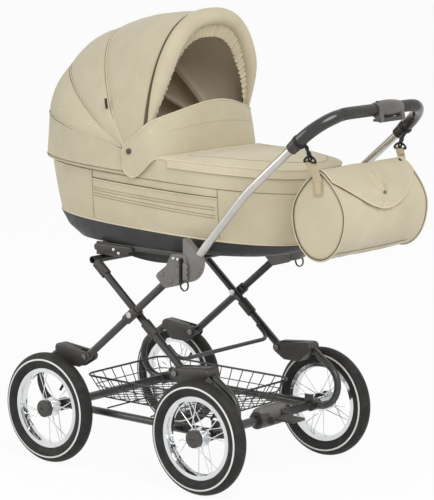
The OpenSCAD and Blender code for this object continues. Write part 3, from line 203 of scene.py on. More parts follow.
def plan_loop(half_len, half_w, z, fall=RIM_FALL, count=144):
    a = turns(count)
    x = half_len * power(cosd(a), 2 / PLAN_POWER)
    return xyz(COT_X + x, half_w * power(sind(a), 2 / PLAN_POWER), z - fall * x)


def plan_half_w(x, half_len, half_w):
    share = np.maximum(0, 1 - (np.abs(x - COT_X) / half_len) ** PLAN_POWER)
    return half_w * share ** (1 / PLAN_POWER)


def arch(foot, angle, reach, half_w, square, count=72):
    """Hoop of the hood in a plane that leans at an angle, from one side to the other."""
    a = np.linspace(-90, 90, count + 1)
    r = reach * np.maximum(0, cosd(a)) ** (2 / square)
    y = half_w * power(sind(a), 2 / square)
    return xyz(foot[0] + r * cosd(angle), y, foot[1] + r * sind(angle))


def flat_section(width, thick, count=12):
    """Rounded flat section of a strap."""
    a = turns(count)
    return np.stack([width / 2 * power(cosd(a), 0.35), thick / 2 * power(sind(a), 0.6)], 1)


def hull_outline(circles, back=0.0, count=96):
    """Side-view hull of circles (x, z, radius, share of the setback), set back all round."""
    n = circle(count)
    centres = np.array([c[:2] for c in circles], float)
    radii = np.array([c[2] - back * c[3] for c in circles], float)
    best = (n @ centres.T + radii).argmax(1)
    return centres[best] + radii[best][:, None] * n


# Mesh building

def quads(index, loop=False, ring=False):
    """Four-sided faces between the neighbours in a grid of point numbers."""
    if loop:
        index = np.hstack([index, index[:, :1]])
    if ring:
        index = np.vstack([index, index[:1]])
    corners = index[:-1, :-1], index[:-1, 1:], index[1:, 1:], index[1:, :-1]
    return np.stack(corners, -1).reshape(-1, 4).tolist()


class Shape:
    """Points and faces of one piece, gathered part by part in millimetres."""

    def __init__(self):
        self.points, self.faces, self.kinds = [], [], []

    def add(self, points, *groups):
        """Points, with groups of faces on them, each group of one kind of material."""
        base = len(self.points)
        self.points += np.asarray(points, float).reshape(-1, 3).tolist()
        for faces, kind in groups:
            self.faces += [[i + base for i in face] for face in faces]
            self.kinds += [kind] * len(faces)

    def grid(self, rows, loop=False, ring=False, kind=0, close=NEITHER):
        rows = np.asarray(rows, float)
        index = np.arange(rows[..., 0].size).reshape(rows.shape[:2])
        ends = [end.tolist() for end, fill in zip((index[0, ::-1], index[-1]), close) if fill]
        self.add(rows, (quads(index, loop, ring) + ends, kind))

    def shell(self, outer, inner, kinds=(0, 0), loop=False):
        """Closed sheet between two grids: outer and inner faces, and a rim all round."""
        sheet = np.asarray([outer, inner], float)
        index = np.arange(sheet[..., 0].size).reshape(sheet.shape[:3])
        if loop:
            edges = [index[:, 0], index[:, -1]]
        else:
            edges = [np.hstack([index[:, 0], index[:, 1:, -1], index[:, -1, -2::-1],
                                index[:, -2:0:-1, 0]])]
        rim = [face for edge in edges for face in quads(edge, loop=True)]
        self.add(sheet, (quads(index[0], loop), kinds[0]), (quads(index[1], loop), kinds[1]),
                 (rim, kinds[0]))

    def sweep(self, route, section, up=None, closed=False, kind=0):
        """Section of (side, up) offsets carried along a route; up keeps a strap flat."""
        route, section = np.asarray(route, float), np.asarray(section, float)
        if section.ndim == 2:
            section = np.repeat(section[None], len(route), 0)
        ahead = np.roll(route, -1, 0) - np.roll(route, 1, 0)
        if not closed:
            ahead[0], ahead[-1] = route[1] - route[0], route[-1] - route[-2]
        along = unit(ahead)
        if up is None:
            ups = [square_to(along[0])]
            for t in along[1:]:
                ups.append(unit(ups[-1] - ups[-1] @ t * t))
            ups = np.array(ups)
        else:
            ups = np.broadcast_to(np.asarray(up, float), route.shape)
            ups = unit(ups - (ups * along).sum(1, keepdims=True) * along)
        side = np.cross(along, ups)
        rows = route[:, None] + section[:, :, :1] * side[:, None] + section[:, :, 1:] * ups[:, None]
        self.grid(rows, loop=True, ring=closed, kind=kind, close=NEITHER if closed else BOTH)

    def tube(self, route, radius, sides=10, closed=False, kind=0):
        radius = np.broadcast_to(np.asarray(radius, float), (len(route),))
        self.sweep(route, radius[:, None, None] * circle(sides), closed=closed, kind=kind)

    def lathe(self, profile, centre, axis=(0, 1, 0), count=40, closed=False):
        """Profile of (radius, height) turned about an axis; closed joins its last to its first."""
        w = unit(axis)
        v = square_to(w)
        ring = circle(count) @ np.array([np.cross(v, w), v])
        rows = [np.asarray(centre, float) + max(r, 0.02) * ring + h * w for r, h in profile]
        self.grid(rows, loop=True, ring=closed, close=NEITHER if closed else BOTH)

    def slab(self, outline, y_from, y_to, edge):
        """Side-view outline of (x, z) between two distances along Y, with rounded edges."""
        outline = np.asarray(outline, float)
        mid = outline.mean(0)
        reach = np.linalg.norm(outline - mid, axis=1).mean()
        deep = edge * np.sign(y_to - y_from) * np.array([0, 0.3, 1])
        rows = []
        for back, y in zip((1, 0.3, 0, 0, 0.3, 1), [*(y_from + deep), *(y_to - deep[::-1])]):
            o = mid + (outline - mid) * (1 - edge * back / reach)
            rows.append(xyz(o[:, 0], y, o[:, 1]))
        self.grid(rows, loop=True, close=BOTH)

    def stitches(self, route, radius, kind=0):
        """Row of raised thread stitches along a route."""
        count = max(1, int(length_of(route) / (STITCH_LEN + STITCH_GAP)))
        fine = resample(route, count * 4 + 1)
        for k in range(count):
            run = fine[4 * k:4 * k + 4]
            self.tube(run, [radius * 0.5, radius, radius, radius * 0.5], 6, kind=kind)

    def piece(self, name, materials, body=None, slot=None, angle=40, replaces=()):
        mesh = bpy.data.meshes.new(name)
        mesh.from_pydata([[c * MM for c in p] for p in self.points], [], self.faces)
        mesh.validate()
        for material in materials:
            mesh.materials.append(material)
        mesh.polygons.foreach_set("material_index", self.kinds[:len(mesh.polygons)])
        face_outwards(mesh)
        mesh.shade_smooth()
        mesh.set_sharp_from_angle(angle=math.radians(angle))
        obj = bpy.data.objects.new(name, mesh)
        bpy.context.scene.collection.objects.link(obj)
        if body:
            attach(obj, body)
        if replaces:
            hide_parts(*replaces)
        return obj


def face_outwards(mesh):
    work = bmesh.new()
    work.from_mesh(mesh)
    bmesh.ops.recalc_face_normals(work, faces=work.faces)
    work.to_mesh(mesh)
    work.free()


def cloth(name, outer, inner, materials, body, flat, held, rests_on, **options):
    """Sheet of cloth between two grids of points; the size of its cut in metres, flat, is not used.
    """
    shape = Shape()
    shape.shell(outer, inner, (0, len(materials) - 1))
    obj = shape.piece(name, materials, body, "cream_fabric", **options)
    return obj


def settled(obj):
    """Mesh of an object with its modifiers worked in."""
    graph = bpy.context.evaluated_depsgraph_get()
    return bpy.data.meshes.new_from_object(obj.evaluated_get(graph))


def puff(obj, voxel_mm, pressure, cap_mm, body, node):
    """Let a padded piece swell as cloth, keep it near its cut, and seat it on its body."""
    scene = bpy.context.scene
    material = obj.data.materials[0]
    remesh = obj.modifiers.new("grid", "REMESH")
    remesh.mode = "VOXEL"
    remesh.voxel_size = voxel_mm * MM
    obj.data = settled(obj)
    obj.modifiers.clear()
    rest = np.array([v.co for v in obj.data.vertices])
    settings = obj.modifiers.new("cloth", "CLOTH").settings
    settings.use_pressure = True
    settings.uniform_pressure_force = pressure
    settings.effector_weights.gravity = 0
    for step in range(1, CLOTH_FRAMES + 1):
        scene.frame_set(step)
    moved = np.array([v.co for v in settled(obj).vertices]) - rest
    far = np.linalg.norm(moved, axis=1, keepdims=True)
    moved *= np.minimum(1, cap_mm * MM / np.maximum(far, 1e-9))
    obj.modifiers.clear()
    scene.frame_set(1)
    obj.data.vertices.foreach_set("co", (rest + moved).ravel())
    soft = obj.modifiers.new("soft", "SUBSURF")
    soft.levels = soft.render_levels = 1
    obj.data = settled(obj)
    obj.modifiers.clear()
    obj.data.materials.clear()
    obj.data.materials.append(material)
    obj.data.shade_smooth()
    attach(obj, body)
    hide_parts(node)


# Materials

def srgb(r, g, b):
    def linear(c):
        c /= 255
        return c / 12.92 if c <= 0.04045 else ((c + 0.055) / 1.055) ** 2.4
    return (linear(r), linear(g), linear(b), 1.0)


def add_node(tree, kind, links=(), **settings):
    """Node of a tree, with its inputs linked to sockets or set to values."""
    made = tree.nodes.new(kind)
    for key, value in settings.items():
        setattr(made, key, value)
    for socket, value in dict(links).items():
        if isinstance(value, bpy.types.NodeSocket):
            tree.links.new(value, made.inputs[socket])
        else:
            made.inputs[socket].default_value = value
    return made


class Paint:
    """A procedural material: its shader and the texture nodes that feed it."""

    def __init__(self, name, rough=0.5, metallic=0.0, specular=0.5, sheen=0.0, coat=0.0):
        self.material = bpy.data.materials.new(name)
        self.material.use_nodes = True
        self.tree = self.material.node_tree
        self.shader = self.tree.nodes["Principled BSDF"]
        for socket, value in (("Roughness", rough), ("Metallic", metallic),
                              ("Specular IOR Level", specular), ("Sheen Weight", sheen),
                              ("Sheen Roughness", 0.5), ("Coat Weight", coat),
                              ("Coat Roughness", 0.2)):
            self.shader.inputs[socket].default_value = value
        self.at = self.node("ShaderNodeTexCoord").outputs["Object"]
        self.normal = None

    def node(self, kind, links=(), **settings):
        return add_node(self.tree, kind, links, **settings)

    def stretched(self, scale):
        return self.node("ShaderNodeMapping", {"Vector": self.at, "Scale": scale}).outputs["Vector"]

    def noise(self, size_mm, detail=3.0, rough=0.55, at=None):
        return self.node("ShaderNodeTexNoise", {
            "Vector": at or self.at, "Scale": 1000 / size_mm, "Detail": detail,
            "Roughness": rough}).outputs["Fac"]

    def cells(self, size_mm, feature="F1"):
        return self.node("ShaderNodeTexVoronoi", {
            "Vector": self.at, "Scale": 1000 / size_mm}, feature=feature).outputs["Distance"]

    def bands(self, axis, pitch_mm):
        return self.node("ShaderNodeTexWave", {"Vector": self.at, "Scale": 314.0 / pitch_mm},
                         bands_direction=axis, wave_profile="SIN").outputs["Fac"]

    def math(self, operation, a, b):
        return self.node("ShaderNodeMath", {0: a, 1: b}, operation=operation).outputs[0]

    def ramp(self, value, low, high):
        """Value carried from one range to another: low and high are (from, to)."""
        return self.node("ShaderNodeMapRange", {
            "Value": value, "From Min": low[0], "From Max": high[0],
            "To Min": low[1], "To Max": high[1]}).outputs["Result"]

    def patches(self, size_mm, detail):
        return self.ramp(self.noise(size_mm, detail), (0.3, 0.0), (0.7, 1.0))

    def mix(self, value, a, b):
        return self.node("ShaderNodeMix", {0: value, 6: a, 7: b}, data_type="RGBA").outputs[2]

    def colour(self, value):
        self.tree.links.new(value, self.shader.inputs["Base Color"])

    def rough(self, value, low, high):
        """Roughness from low to high as a noise goes over its middle range."""
        self.tree.links.new(self.ramp(value, (0.3, low), (0.7, high)),
                            self.shader.inputs["Roughness"])

    def bump(self, height, strength, depth_mm):
        links = {"Height": height, "Strength": strength, "Distance": depth_mm * MM}
        if self.normal is not None:
            links["Normal"] = self.normal
        self.normal = self.node("ShaderNodeBump", links).outputs["Normal"]
        self.tree.links.new(self.normal, self.shader.inputs["Normal"])

    def weave(self, pitch_mm, strength):
        cross = self.math("ADD", self.bands("X", pitch_mm), self.bands("Y", pitch_mm))
        self.bump(self.math("ADD", cross, self.bands("Z", pitch_mm)), strength, 0.35)


def fabric(name, dark, light, weave=1.1, sprig=False, sheen=0.25):
    """Woven cloth: threads, slow colour changes, soft rumples and, on the hood, faint sprigs."""
    p = Paint(name, rough=0.85, specular=0.25, sheen=sheen)
    tone = p.math("ADD", p.math("MULTIPLY", p.noise(130, 3), 0.6),
                  p.math("MULTIPLY", p.noise(2.2, 2), 0.4))
    threads = p.mix(p.ramp(tone, (0.35, 0.0), (0.65, 1.0)), srgb(*dark), srgb(*light))
    if sprig:
        spots = p.ramp(p.cells(46), (0.10, 1.0), (0.16, 0.0))
        petals = p.ramp(p.cells(7), (0.2, 1.0), (0.5, 0.0))
        faint = p.math("MULTIPLY", p.math("MULTIPLY", spots, petals), 0.6)
        threads = p.mix(faint, threads, srgb(*[min(255, c + 26) for c in light]))
    p.colour(threads)
    p.rough(p.noise(9, 2), 0.78, 0.92)
    p.bump(p.noise(55, 3, 0.5), 0.16, 5)
    p.weave(weave, 0.25)
    return p.material


def painted(name, dark, light, rough, metallic=0.0, coat=0.0, specular=0.5, grain=1.2, depth=0.05):
    """Paint or moulded plastic: fine grain, slow changes of tone and rubbed patches."""
    p = Paint(name, rough=rough, metallic=metallic, coat=coat, specular=specular)
    p.colour(p.mix(p.patches(70, 4), srgb(*dark), srgb(*light)))
    p.rough(p.noise(24, 4), rough * 0.82, min(1, rough * 1.2))
    p.bump(p.noise(grain, 2), 0.35, depth)
    return p.material


def metal(name, colour, rough, streak=(1, 1, 1), streak_depth=0.02):
    """Bare metal: fine streaks along one axis and light clouding."""
    p = Paint(name, rough=rough, metallic=1.0)
    p.colour(p.mix(p.patches(60, 3), srgb(*[int(c * 0.93) for c in colour]), srgb(*colour)))
    lines = p.noise(2.0, 2, at=p.stretched(streak))
    p.rough(lines, rough * 0.88, rough * 1.15)
    if streak_depth:
        p.bump(lines, 0.06, streak_depth)
    return p.material


def rubber(name):
    """Tyre rubber: dusty patches, fine ribs round the tread and grain."""
    p = Paint(name, rough=0.62, specular=0.35)
    dust = p.ramp(p.noise(40, 5), (0.42, 0.0), (0.75, 1.0))
    p.colour(p.mix(dust, srgb(30, 29, 28), srgb(50, 48, 46)))
    p.rough(p.noise(18, 3), 0.55, 0.75)
    p.bump(p.bands("Y", 5.2), 0.55, 0.9)
    p.bump(p.noise(1.1, 2), 0.3, 0.08)
    return p.material


def leather(name):
    """Leatherette: cells of grain and worn tone."""
    p = Paint(name, rough=0.42, specular=0.45)
    p.colour(p.mix(p.patches(30, 4), srgb(31, 29, 27), srgb(50, 46, 43)))
    p.rough(p.noise(12, 3), 0.36, 0.55)
    p.bump(p.cells(2.2, "DISTANCE_TO_EDGE"), 0.6, 0.5)
    return p.material


CREAM = fabric("cream_cloth", (196, 185, 158), (209, 199, 172))
CREAM_SPRIG = fabric("cream_sprigged", (193, 183, 156), (207, 198, 171), sprig=True)
CREAM_SOFT = fabric("cream_padded", (203, 191, 164), (217, 206, 180))
# Painted light: the lining is lighter than the cream outside and stands in for the light that
# reaches the insides
LIT_LINING = fabric("hood_lining_painted_light", (234, 220, 196), (243, 230, 207), weave=0.9, sheen=0.1)
CASING = fabric("rib_casing", (176, 163, 146), (188, 175, 157), weave=0.9, sheen=0.1)
WEBBING = fabric("webbing", (186, 173, 140), (203, 190, 157), weave=1.8)
# Painted shade: a dark cloth for thin tubes that stand for the shade in seams and beside stitched
# lines
SEAM_SHADE = fabric("seam_shadow", (118, 106, 82), (136, 123, 97), weave=0.8, sheen=0.0)
# Painted shade: a dark cloth for tubes that stand for the shadow in grooves and seam valleys
GROOVE_SHADE = fabric("seam_groove_shade", (92, 81, 63), (106, 94, 74), weave=0.8, sheen=0.0)
THREAD = fabric("thread", (150, 136, 106), (166, 151, 120), weave=0.7, sheen=0.0)
PIPING = fabric("piping", (208, 197, 170), (222, 212, 187), weave=0.9)
TAB = fabric("dark_tab", (52, 47, 43), (66, 60, 55), weave=0.9, sheen=0.05)
TYRE = rubber("tyre_rubber")
WHITE_RUBBER = painted("white_rubber", (226, 224, 218), (240, 238, 233), 0.55, grain=2.0)
CHROME = metal("chrome", (226, 228, 230), 0.1)
SILVER = metal("satin_silver", (206, 204, 197), 0.27, streak=(0.1, 1, 1), streak_depth=0)
STEEL = metal("bright_steel", (206, 206, 204), 0.28)
DULL = metal("dull_steel", (126, 122, 117), 0.35)
FRAME = painted("frame_paint", (52, 51, 49), (66, 64, 61), 0.34, metallic=0.35, coat=0.25)
DARK = painted("dark_plastic", (54, 51, 48), (68, 64, 60), 0.45, grain=0.9)
GREY = painted("grey_plastic", (108, 105, 101), (124, 120, 116), 0.42, grain=0.9)
TRAY = painted("tray_plastic", (52, 52, 52), (65, 65, 64), 0.48, specular=0.25, grain=1.0)
CONTROL = painted("control_plastic", (86, 82, 78), (100, 96, 91), 0.36, grain=1.2)
CAP = painted("cap_plastic", (58, 55, 51), (74, 70, 65), 0.4, grain=0.9)
GLOSS = painted("gloss_plastic", (27, 25, 24), (36, 34, 32), 0.2, coat=0.4, grain=3.0, depth=0.01)
BLACK = painted("black_plastic", (20, 19, 18), (28, 27, 26), 0.35, specular=0.3, grain=1.0)
WIRE = painted("basket_wire", (46, 45, 44), (58, 57, 55), 0.36, metallic=0.3)
BUTTON_RED = painted("button", (92, 54, 47), (104, 62, 54), 0.4)
GRIP = leather("grip_leatherette")


# CAD nodes that stay in view

def dress(names, material, bevel=0.0, angle=38):
    for name in names:
        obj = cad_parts[name]
        obj.data.materials.clear()
        obj.data.materials.append(material)
        weld = obj.modifiers.new("weld", "WELD")
        weld.merge_threshold = 0.02 * MM
        if bevel:
            edge = obj.modifiers.new("edge", "BEVEL")
            edge.width = bevel * MM
            edge.segments = 3
            edge.limit_method = "ANGLE"
            edge.angle_limit = math.radians(angle)
        split = obj.modifiers.new("split", "EDGE_SPLIT")
        split.split_angle = math.radians(angle)
        obj.data.shade_smooth()


def each_wheel(*parts):
    return [f"{part}_{end}_{hand}" for part in parts
            for end in ("front", "rear") for hand in ("left", "right")]


dress(each_wheel("tyre"), TYRE)
dress(each_wheel("rim", "hub"), CHROME, angle=50)
dress(each_wheel("hub_cap"), CAP, bevel=1.2)
dress(["rear_axle", "front_axle", "rear_spring_arms", "front_spring_arms", "lower_rails",
       "rear_legs", "front_legs", "support_tube", "cross_brace", "rail_sleeves"], FRAME, bevel=0.6)
dress(["brake_housing", "brake_pedal", "leg_sleeves", "release_lever"], DARK, bevel=1.0)
dress(["hood_hinges"], CAP, bevel=0.8)
dress(["rear_foot_bolts", "front_pivot_bolts"], DULL, bevel=1.2)
dress(["crossing_bolts"], STEEL, bevel=1.2)
dress(["hood_rib_back", "hood_rib_middle"], STEEL)
dress(["handle_tube"], SILVER)
dress(["handle_grips"], GRIP, bevel=1.5, angle=60)
dress(["handle_brackets", "handle_knuckles"], GREY, bevel=1.2)
dress(["tray", "rocker_base"], TRAY, bevel=1.5, angle=50)
dress(["cot_carrier"], DARK, bevel=1.2)


# Bassinet body

WALL_BULGE, WALL_T = 5.0, 4.0
WALL_LOW_Z = TRAY_Z + 0.3
LONG_SEAM_SHARE = 0.704


def wall_half(t, inward=0.0):
    """Half length and half width of the wall at a share of its height."""
    out = WALL_BULGE * hump(t) - inward
    return (BASE_HALF_LEN * (1 - t) + COT_HALF_LEN * t + out,
            BASE_HALF_W * (1 - t) + COT_HALF_W * t + out / 2 - inward / 2)


def wall_loop(t, inward=0.0, out=0.0, up=0.0):
    half_len, half_w = wall_half(t, inward)
    return plan_loop(half_len + out, half_w + out, WALL_LOW_Z * (1 - t) + RIM_Z * t + up)


def on_wall(x, z, side, off=0.0):
    """Point of the wall's outside at a place along it and a height, moved out by off."""
    x, z = np.asarray(x, float), np.asarray(z, float)
    t = (z + RIM_FALL * (x - COT_X) - WALL_LOW_Z) / (RIM_Z - WALL_LOW_Z)
    return xyz(x, side * (plan_half_w(x, *wall_half(t)) + off), z)


wall_rows, lining_rows = [], []
for t in np.linspace(0, 1, 17):
    row = wall_loop(t)
    away = unit((row - vec(COT_X)) * vec(0.45, 1, 0))
    ripple = swell(row, scale=95, seed=3.1, depth=1.1) * math.sin(math.pi * t)
    wall_rows.append(row + away * ripple[:, None])
    lining_rows.append(wall_loop(t, WALL_T))
walls = Shape()
walls.shell(wall_rows, lining_rows, (0, 1), loop=True)
body_wall = walls.piece("body_wall", [CREAM, LIT_LINING], *ON_COT, replaces=["body_shell"])

# Piping along the wall's foot and its top edge
trim = Shape()
trim.tube(wall_loop(0.0, out=0.6, up=2.4), 2.2, 8, closed=True)
trim.tube(wall_loop(1.0, out=-1.8), 2.4, 8, closed=True)
trim.piece("body_piping", [PIPING], *ON_COT)

# Side pockets with their stitched lines, and the long seam above them; dark tubes of painted shade
# lie beside the stitched lines, along the pocket tops and ends and round the long seam.
# A line's two heights are those at the pocket's head end and foot end.
POCKET_X, POCKET_TOP, POCKET_END_TOP = (-164.0, 258.0), (774, 755), (797, 779)
POCKET_LINES = ((752, 732), (745, 725), (737, 711), (730, 704))
POCKET_OFF, POCKET_RISE, POCKET_GAPE = 2.4, 7.0, 2.2


def pocket_line(x, heights):
    return heights[0] + (heights[1] - heights[0]) * (x - POCKET_X[0]) / (POCKET_X[1] - POCKET_X[0])


def pocket_low(x):
    return WALL_LOW_Z + POCKET_RISE - RIM_FALL * (x - COT_X)


xs = np.linspace(*POCKET_X, 61)
pocket_arc = sind(180 * (xs - xs[0]) / (xs[-1] - xs[0]))
pocket_fade = np.minimum(1, np.minimum(xs - xs[0], xs[-1] - xs) / 4)
low_z, top_z = pocket_low(xs), pocket_line(xs, POCKET_TOP)
shade_lines, threads, pocket_trim = Shape(), Shape(), Shape()
for side, hand in HANDS:
    rows_out, rows_in = [], []
    for t in np.linspace(0, 1, 13):
        z = low_z * (1 - t) + top_z * t
        edge = min(1.0, 5 * t, 40 * (1 - t) + 0.8)
        gape = POCKET_GAPE * pocket_arc * t ** 3
        puffed = (POCKET_OFF + swell(xyz(xs, z, 0), scale=60, seed=7.7, depth=0.5)) * edge + gape
        rows_out.append(on_wall(xs, z, side, 0.5 + puffed * pocket_fade))
        rows_in.append(on_wall(xs, z, side, 0.3 + gape * pocket_fade * 0.8))
    cloth(f"side_pocket_{hand}", rows_out, rows_in, [CREAM], "bassinet", flat=(0.43, 0.115),
          held="stretched", rests_on=["body_wall"])
    pocket_trim.tube(on_wall(xs, top_z, side, 3.2 + 2.0 * pocket_arc), 1.7, 8)
    # Dark tube of painted shade along the pocket's top
    shade_lines.tube(on_wall(xs, top_z + 2.6, side, 0.6), 1.5, 6)
    for heights in POCKET_LINES:
        z = pocket_line(xs, heights)
        gape = POCKET_GAPE * pocket_arc * ((z - low_z) / (top_z - low_z)) ** 3
        route = on_wall(xs, z, side, POCKET_OFF + 0.75 + gape)[1:-1]
        threads.stitches(route, radius=0.75)
        # Dark tube of painted shade beside each stitched line
        shade_lines.tube(route - vec(y=side * 0.45), 0.7, 6)
    for x in POCKET_X:
        z = np.linspace(pocket_low(x) + 1, pocket_line(x, POCKET_END_TOP), 24)
        threads.stitches(on_wall(x, z, side, 1.1), radius=0.65)
        # Dark tube of painted shade along the pocket's end
        shade_lines.tube(on_wall(x - 0.5 * np.sign(x), z, side, 0.2), 0.9, 6)
# Dark tube of painted shade round the long seam
shade_lines.tube(wall_loop(LONG_SEAM_SHARE), 1.0, 6, closed=True)
pocket_trim.piece("pocket_piping", [PIPING], *ON_COT)


# Hood: the fixed band at the head end

BAND_REACH, BAND_HALF_W, BAND_DROP, BAND_T = 410.5, 210.5, 52.0, 3.5

base_arch, rib_1_arch, rib_2_arch = (
    arch(HINGE, angle, reach, HOOD_HALF_W, square)
    for angle, reach, square in (BASE_SEAM, RIB_1, RIB_2))
bow_arch = arch(BOW_FOOT, BOW_ANGLE, BOW_REACH, BOW_HALF_W, BOW_POWER)
low_arch = arch(HINGE, 180, BAND_REACH, BAND_HALF_W, BASE_SEAM[2])
low_arch[:, 2] = rim_height(low_arch[:, 0]) - BAND_DROP


def between(a, b, t, bulge):
    """Row at a share of the way from one hoop to another, bulged in the middle."""
    fade = sind(180 * np.arange(len(a)) / (len(a) - 1))
    return inset((1 - t) * a + t * b, HOOD_MIDDLE, -bulge * fade * hump(t))


band_rows = []
for t in np.linspace(0, 1, 9):
    row = between(low_arch, base_arch, t, 0)
    ripple = swell(row, scale=70, seed=5.2, depth=0.9) * math.sin(math.pi * t)
    band_rows.append(inset(row, HOOD_MIDDLE, -ripple))
cloth("head_band", band_rows, [inset(r, HOOD_MIDDLE, BAND_T) for r in band_rows],
      [CREAM_SPRIG, LIT_LINING], "bassinet", flat=(0.135, 1.15), held="stretched",
      rests_on=["body_wall"], replaces=["hood_base"])
# Dark tube of painted shade along the band's lower hem
shade_lines.tube(inset(low_arch, HOOD_MIDDLE, 0.4) + vec(z=7), 0.8, 6)
threads.stitches(inset(low_arch, HOOD_MIDDLE, -0.4) + vec(z=5), radius=0.6)

# Hood panels, each drawn between the two hoops that carry its edges, and left on no body
PANEL_T, PANEL_BULGE, PANEL_ROWS, PANEL_GAP_SHARE = 2.5, 15.0, 25, 0.4 / 150
SEAM_TUCK, ROLL_TUCK = 3.6, 7.0


def hood_panel(name, from_arch, to_arch, node, seed, tuck_end):
    rows_out, rows_in = [], []
    along = np.linspace(0, 1, len(from_arch))
    near_hinge = np.maximum(0, 1 - np.minimum(along, 1 - along) / 0.22)
    for t in 0.5 - 0.5 * cosd(180 * np.linspace(0, 1, PANEL_ROWS)):
        share = PANEL_GAP_SHARE + (1 - 2 * PANEL_GAP_SHARE) * t
        row = between(from_arch, to_arch, share, PANEL_BULGE)
        middle = np.sin(np.pi * t)
        creases = 0.8 * np.sin(9 * np.pi * t) * near_hinge
        wrinkle = (swell(row, scale=62, seed=seed, depth=1.8) + creases) * middle
        valley = SEAM_TUCK * bell(t, 0.05) + tuck_end * bell(1 - t, 0.09)
        row = inset(row, HOOD_MIDDLE, valley * np.sin(np.pi * along) ** 0.5 - wrinkle)
        rows_out.append(row[1:-1])
        rows_in.append(inset(row, HOOD_MIDDLE, PANEL_T)[1:-1])
    width = length_of([r[len(r) // 2] for r in rows_out])
    length = length_of(rows_out[PANEL_ROWS // 2])
    obj = cloth(name, rows_out, rows_in, [CREAM_SPRIG, LIT_LINING], None,
                flat=(width * MM, length * MM), held="stretched",
                rests_on=["hood_rib_back", "hood_rib_middle"], replaces=[node])
    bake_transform(obj)


hood_panel("hood_panel_1", base_arch, rib_1_arch, "hood_panel_back",
           1.3, SEAM_TUCK)
hood_panel("hood_panel_2", rib_1_arch, rib_2_arch, "hood_panel_middle",
           4.7, SEAM_TUCK)
hood_panel("hood_panel_3", rib_2_arch, bow_arch, "hood_panel_front",
           8.9, ROLL_TUCK)

# Piped seams where the panels meet, each with a dark tube of painted shade in its valley, and the
# cased ribs inside
CASING_R, CASING_HALF_T, RIB_INSET = 4.6, 0.7, 9.0
for name, body, route, rib, rib_half_w in (
        ("hood_seam_base", "bassinet", base_arch, None, 0),
        ("hood_seam_back", "hood_back", rib_1_arch, RIB_1, 193.9),
        ("hood_seam_middle", "hood_middle", rib_2_arch, RIB_2, 186.9)):
    seam = Shape()
    seam.tube(inset(route, HOOD_MIDDLE, SEAM_TUCK - 2.2)[1:-1], 1.9, 8)
    # Dark tube of painted shade in the seam's valley
    seam.tube(inset(route, HOOD_MIDDLE, SEAM_TUCK - 1.2)[1:-1] + vec(-2.8, 0, -0.8), 1.9, 6, kind=1)
    if rib:
        wire = arch(HINGE, rib[0], rib[1] - RIB_INSET, rib_half_w, rib[2])[2:-2]
        seam.tube(wire, CASING_R, 10, kind=2)
        inner = inset(route, HOOD_MIDDLE, PANEL_T + 0.3)[2:-2]
        half = vec(CASING_HALF_T)
        seam.shell([wire + half, inner + half], [wire - half, inner - half], (2, 2))
    seam.piece(name, [PIPING, GROOVE_SHADE, CASING], body, "cream_fabric")

# Padded roll of the bow, and a dark tube of painted shade in the groove behind it
ROLL_R, ROLL_N = 23.0, 120
ROLL_REACH, ROLL_HALF_W = 353.5, 199.75
steps = np.arange(ROLL_N + 1)
share = np.minimum(steps, ROLL_N - steps) / ROLL_N
radii = ROLL_R * (0.2 + 0.8 * sind(np.minimum(90, 432 * share)) ** 2)
roll_route = arch(BOW_FOOT, BOW_ANGLE, ROLL_REACH, ROLL_HALF_W, BOW_POWER, ROLL_N)
roll_route += xyz(radii, 0, 0)
ring = circle(28)
plump = 1 + 0.018 * np.array([[noise.noise(Vector((k * 0.16, c, s))) for c, s in ring]
                              for k in range(ROLL_N + 1)])
section = radii[:, None, None] * plump[:, :, None] * ring
roll = Shape()
roll.sweep(roll_route[1:-1], section[1:-1], up=(1, 0, 0))
roll_piece = roll.piece("hood_roll", [CREAM], slot="cream_fabric")
puff(roll_piece, 5, 4, 5, "hood_front", "hood_bow")
groove_shade = Shape()
groove_shade.tube(inset(bow_arch, HOOD_MIDDLE, 2.4)[2:-2] + vec(-2.4), 4.8, 8)
groove_shade.piece("roll_groove_shade", [GROOVE_SHADE], *ON_BOW)

# Gathered ruffle inside the roll, with its hems
RUFFLE_N, RUFFLE_PLEATS = 900, 46
inward = unit(xyz(BOW_FOOT[0], roll_route[:, 1] * 0.25, BOW_FOOT[1] + 60) - roll_route)
opened = np.clip((share - 0.06) / 0.2, 0, 1)
at = np.linspace(6, ROLL_N - 6, RUFFLE_N)


def along_roll(values):
    """Values at the roll's steps, taken at the ruffle's finer ones."""
    columns = np.asarray(values, float).reshape(ROLL_N + 1, -1).T
    return np.stack([np.interp(at, steps, column) for column in columns], 1)


ruffle_route, inward = along_roll(roll_route), unit(along_roll(inward))
ruffle_r, opened = along_roll(radii)[:, 0], along_roll(opened)[:, 0]
back = vec(-1)
pleats = np.arange(RUFFLE_N) * 2 * np.pi * RUFFLE_PLEATS / RUFFLE_N
sway = np.array([noise.noise(Vector((k * 0.02, 4.1, 0))) for k in range(RUFFLE_N)])
pleat = np.sin(pleats + 2.4 * sway) * (1 + 0.6 * sway) + 0.4 * np.sin(pleats / 2)
rows = []
for t in np.linspace(0, 1, 11):
    reach = ruffle_r * 0.86 + (7 + 27 * opened) * t
    off = -(2 + ruffle_r * 0.25) + 10 * t * opened
    lift = pleat * (0.8 + 6.0 * t * (1 - 0.6 * t)) * (0.3 + 0.7 * opened)
    rows.append(ruffle_route + inward * reach[:, None] + back * (off + lift)[:, None])
cloth("hood_ruffle", rows, [row + back * 0.9 for row in rows], [CREAM], "hood_front",
      flat=(0.034, length_of(rows[-1]) * MM), held="gathered", rests_on=["hood_roll"], angle=80)
hem = Shape()
hem.tube(rows[-1], 1.3, 6)
hem.tube(rows[0] + inward * 1.5, 1.3, 6)
hem.piece("ruffle_hem", [CREAM], *ON_BOW)

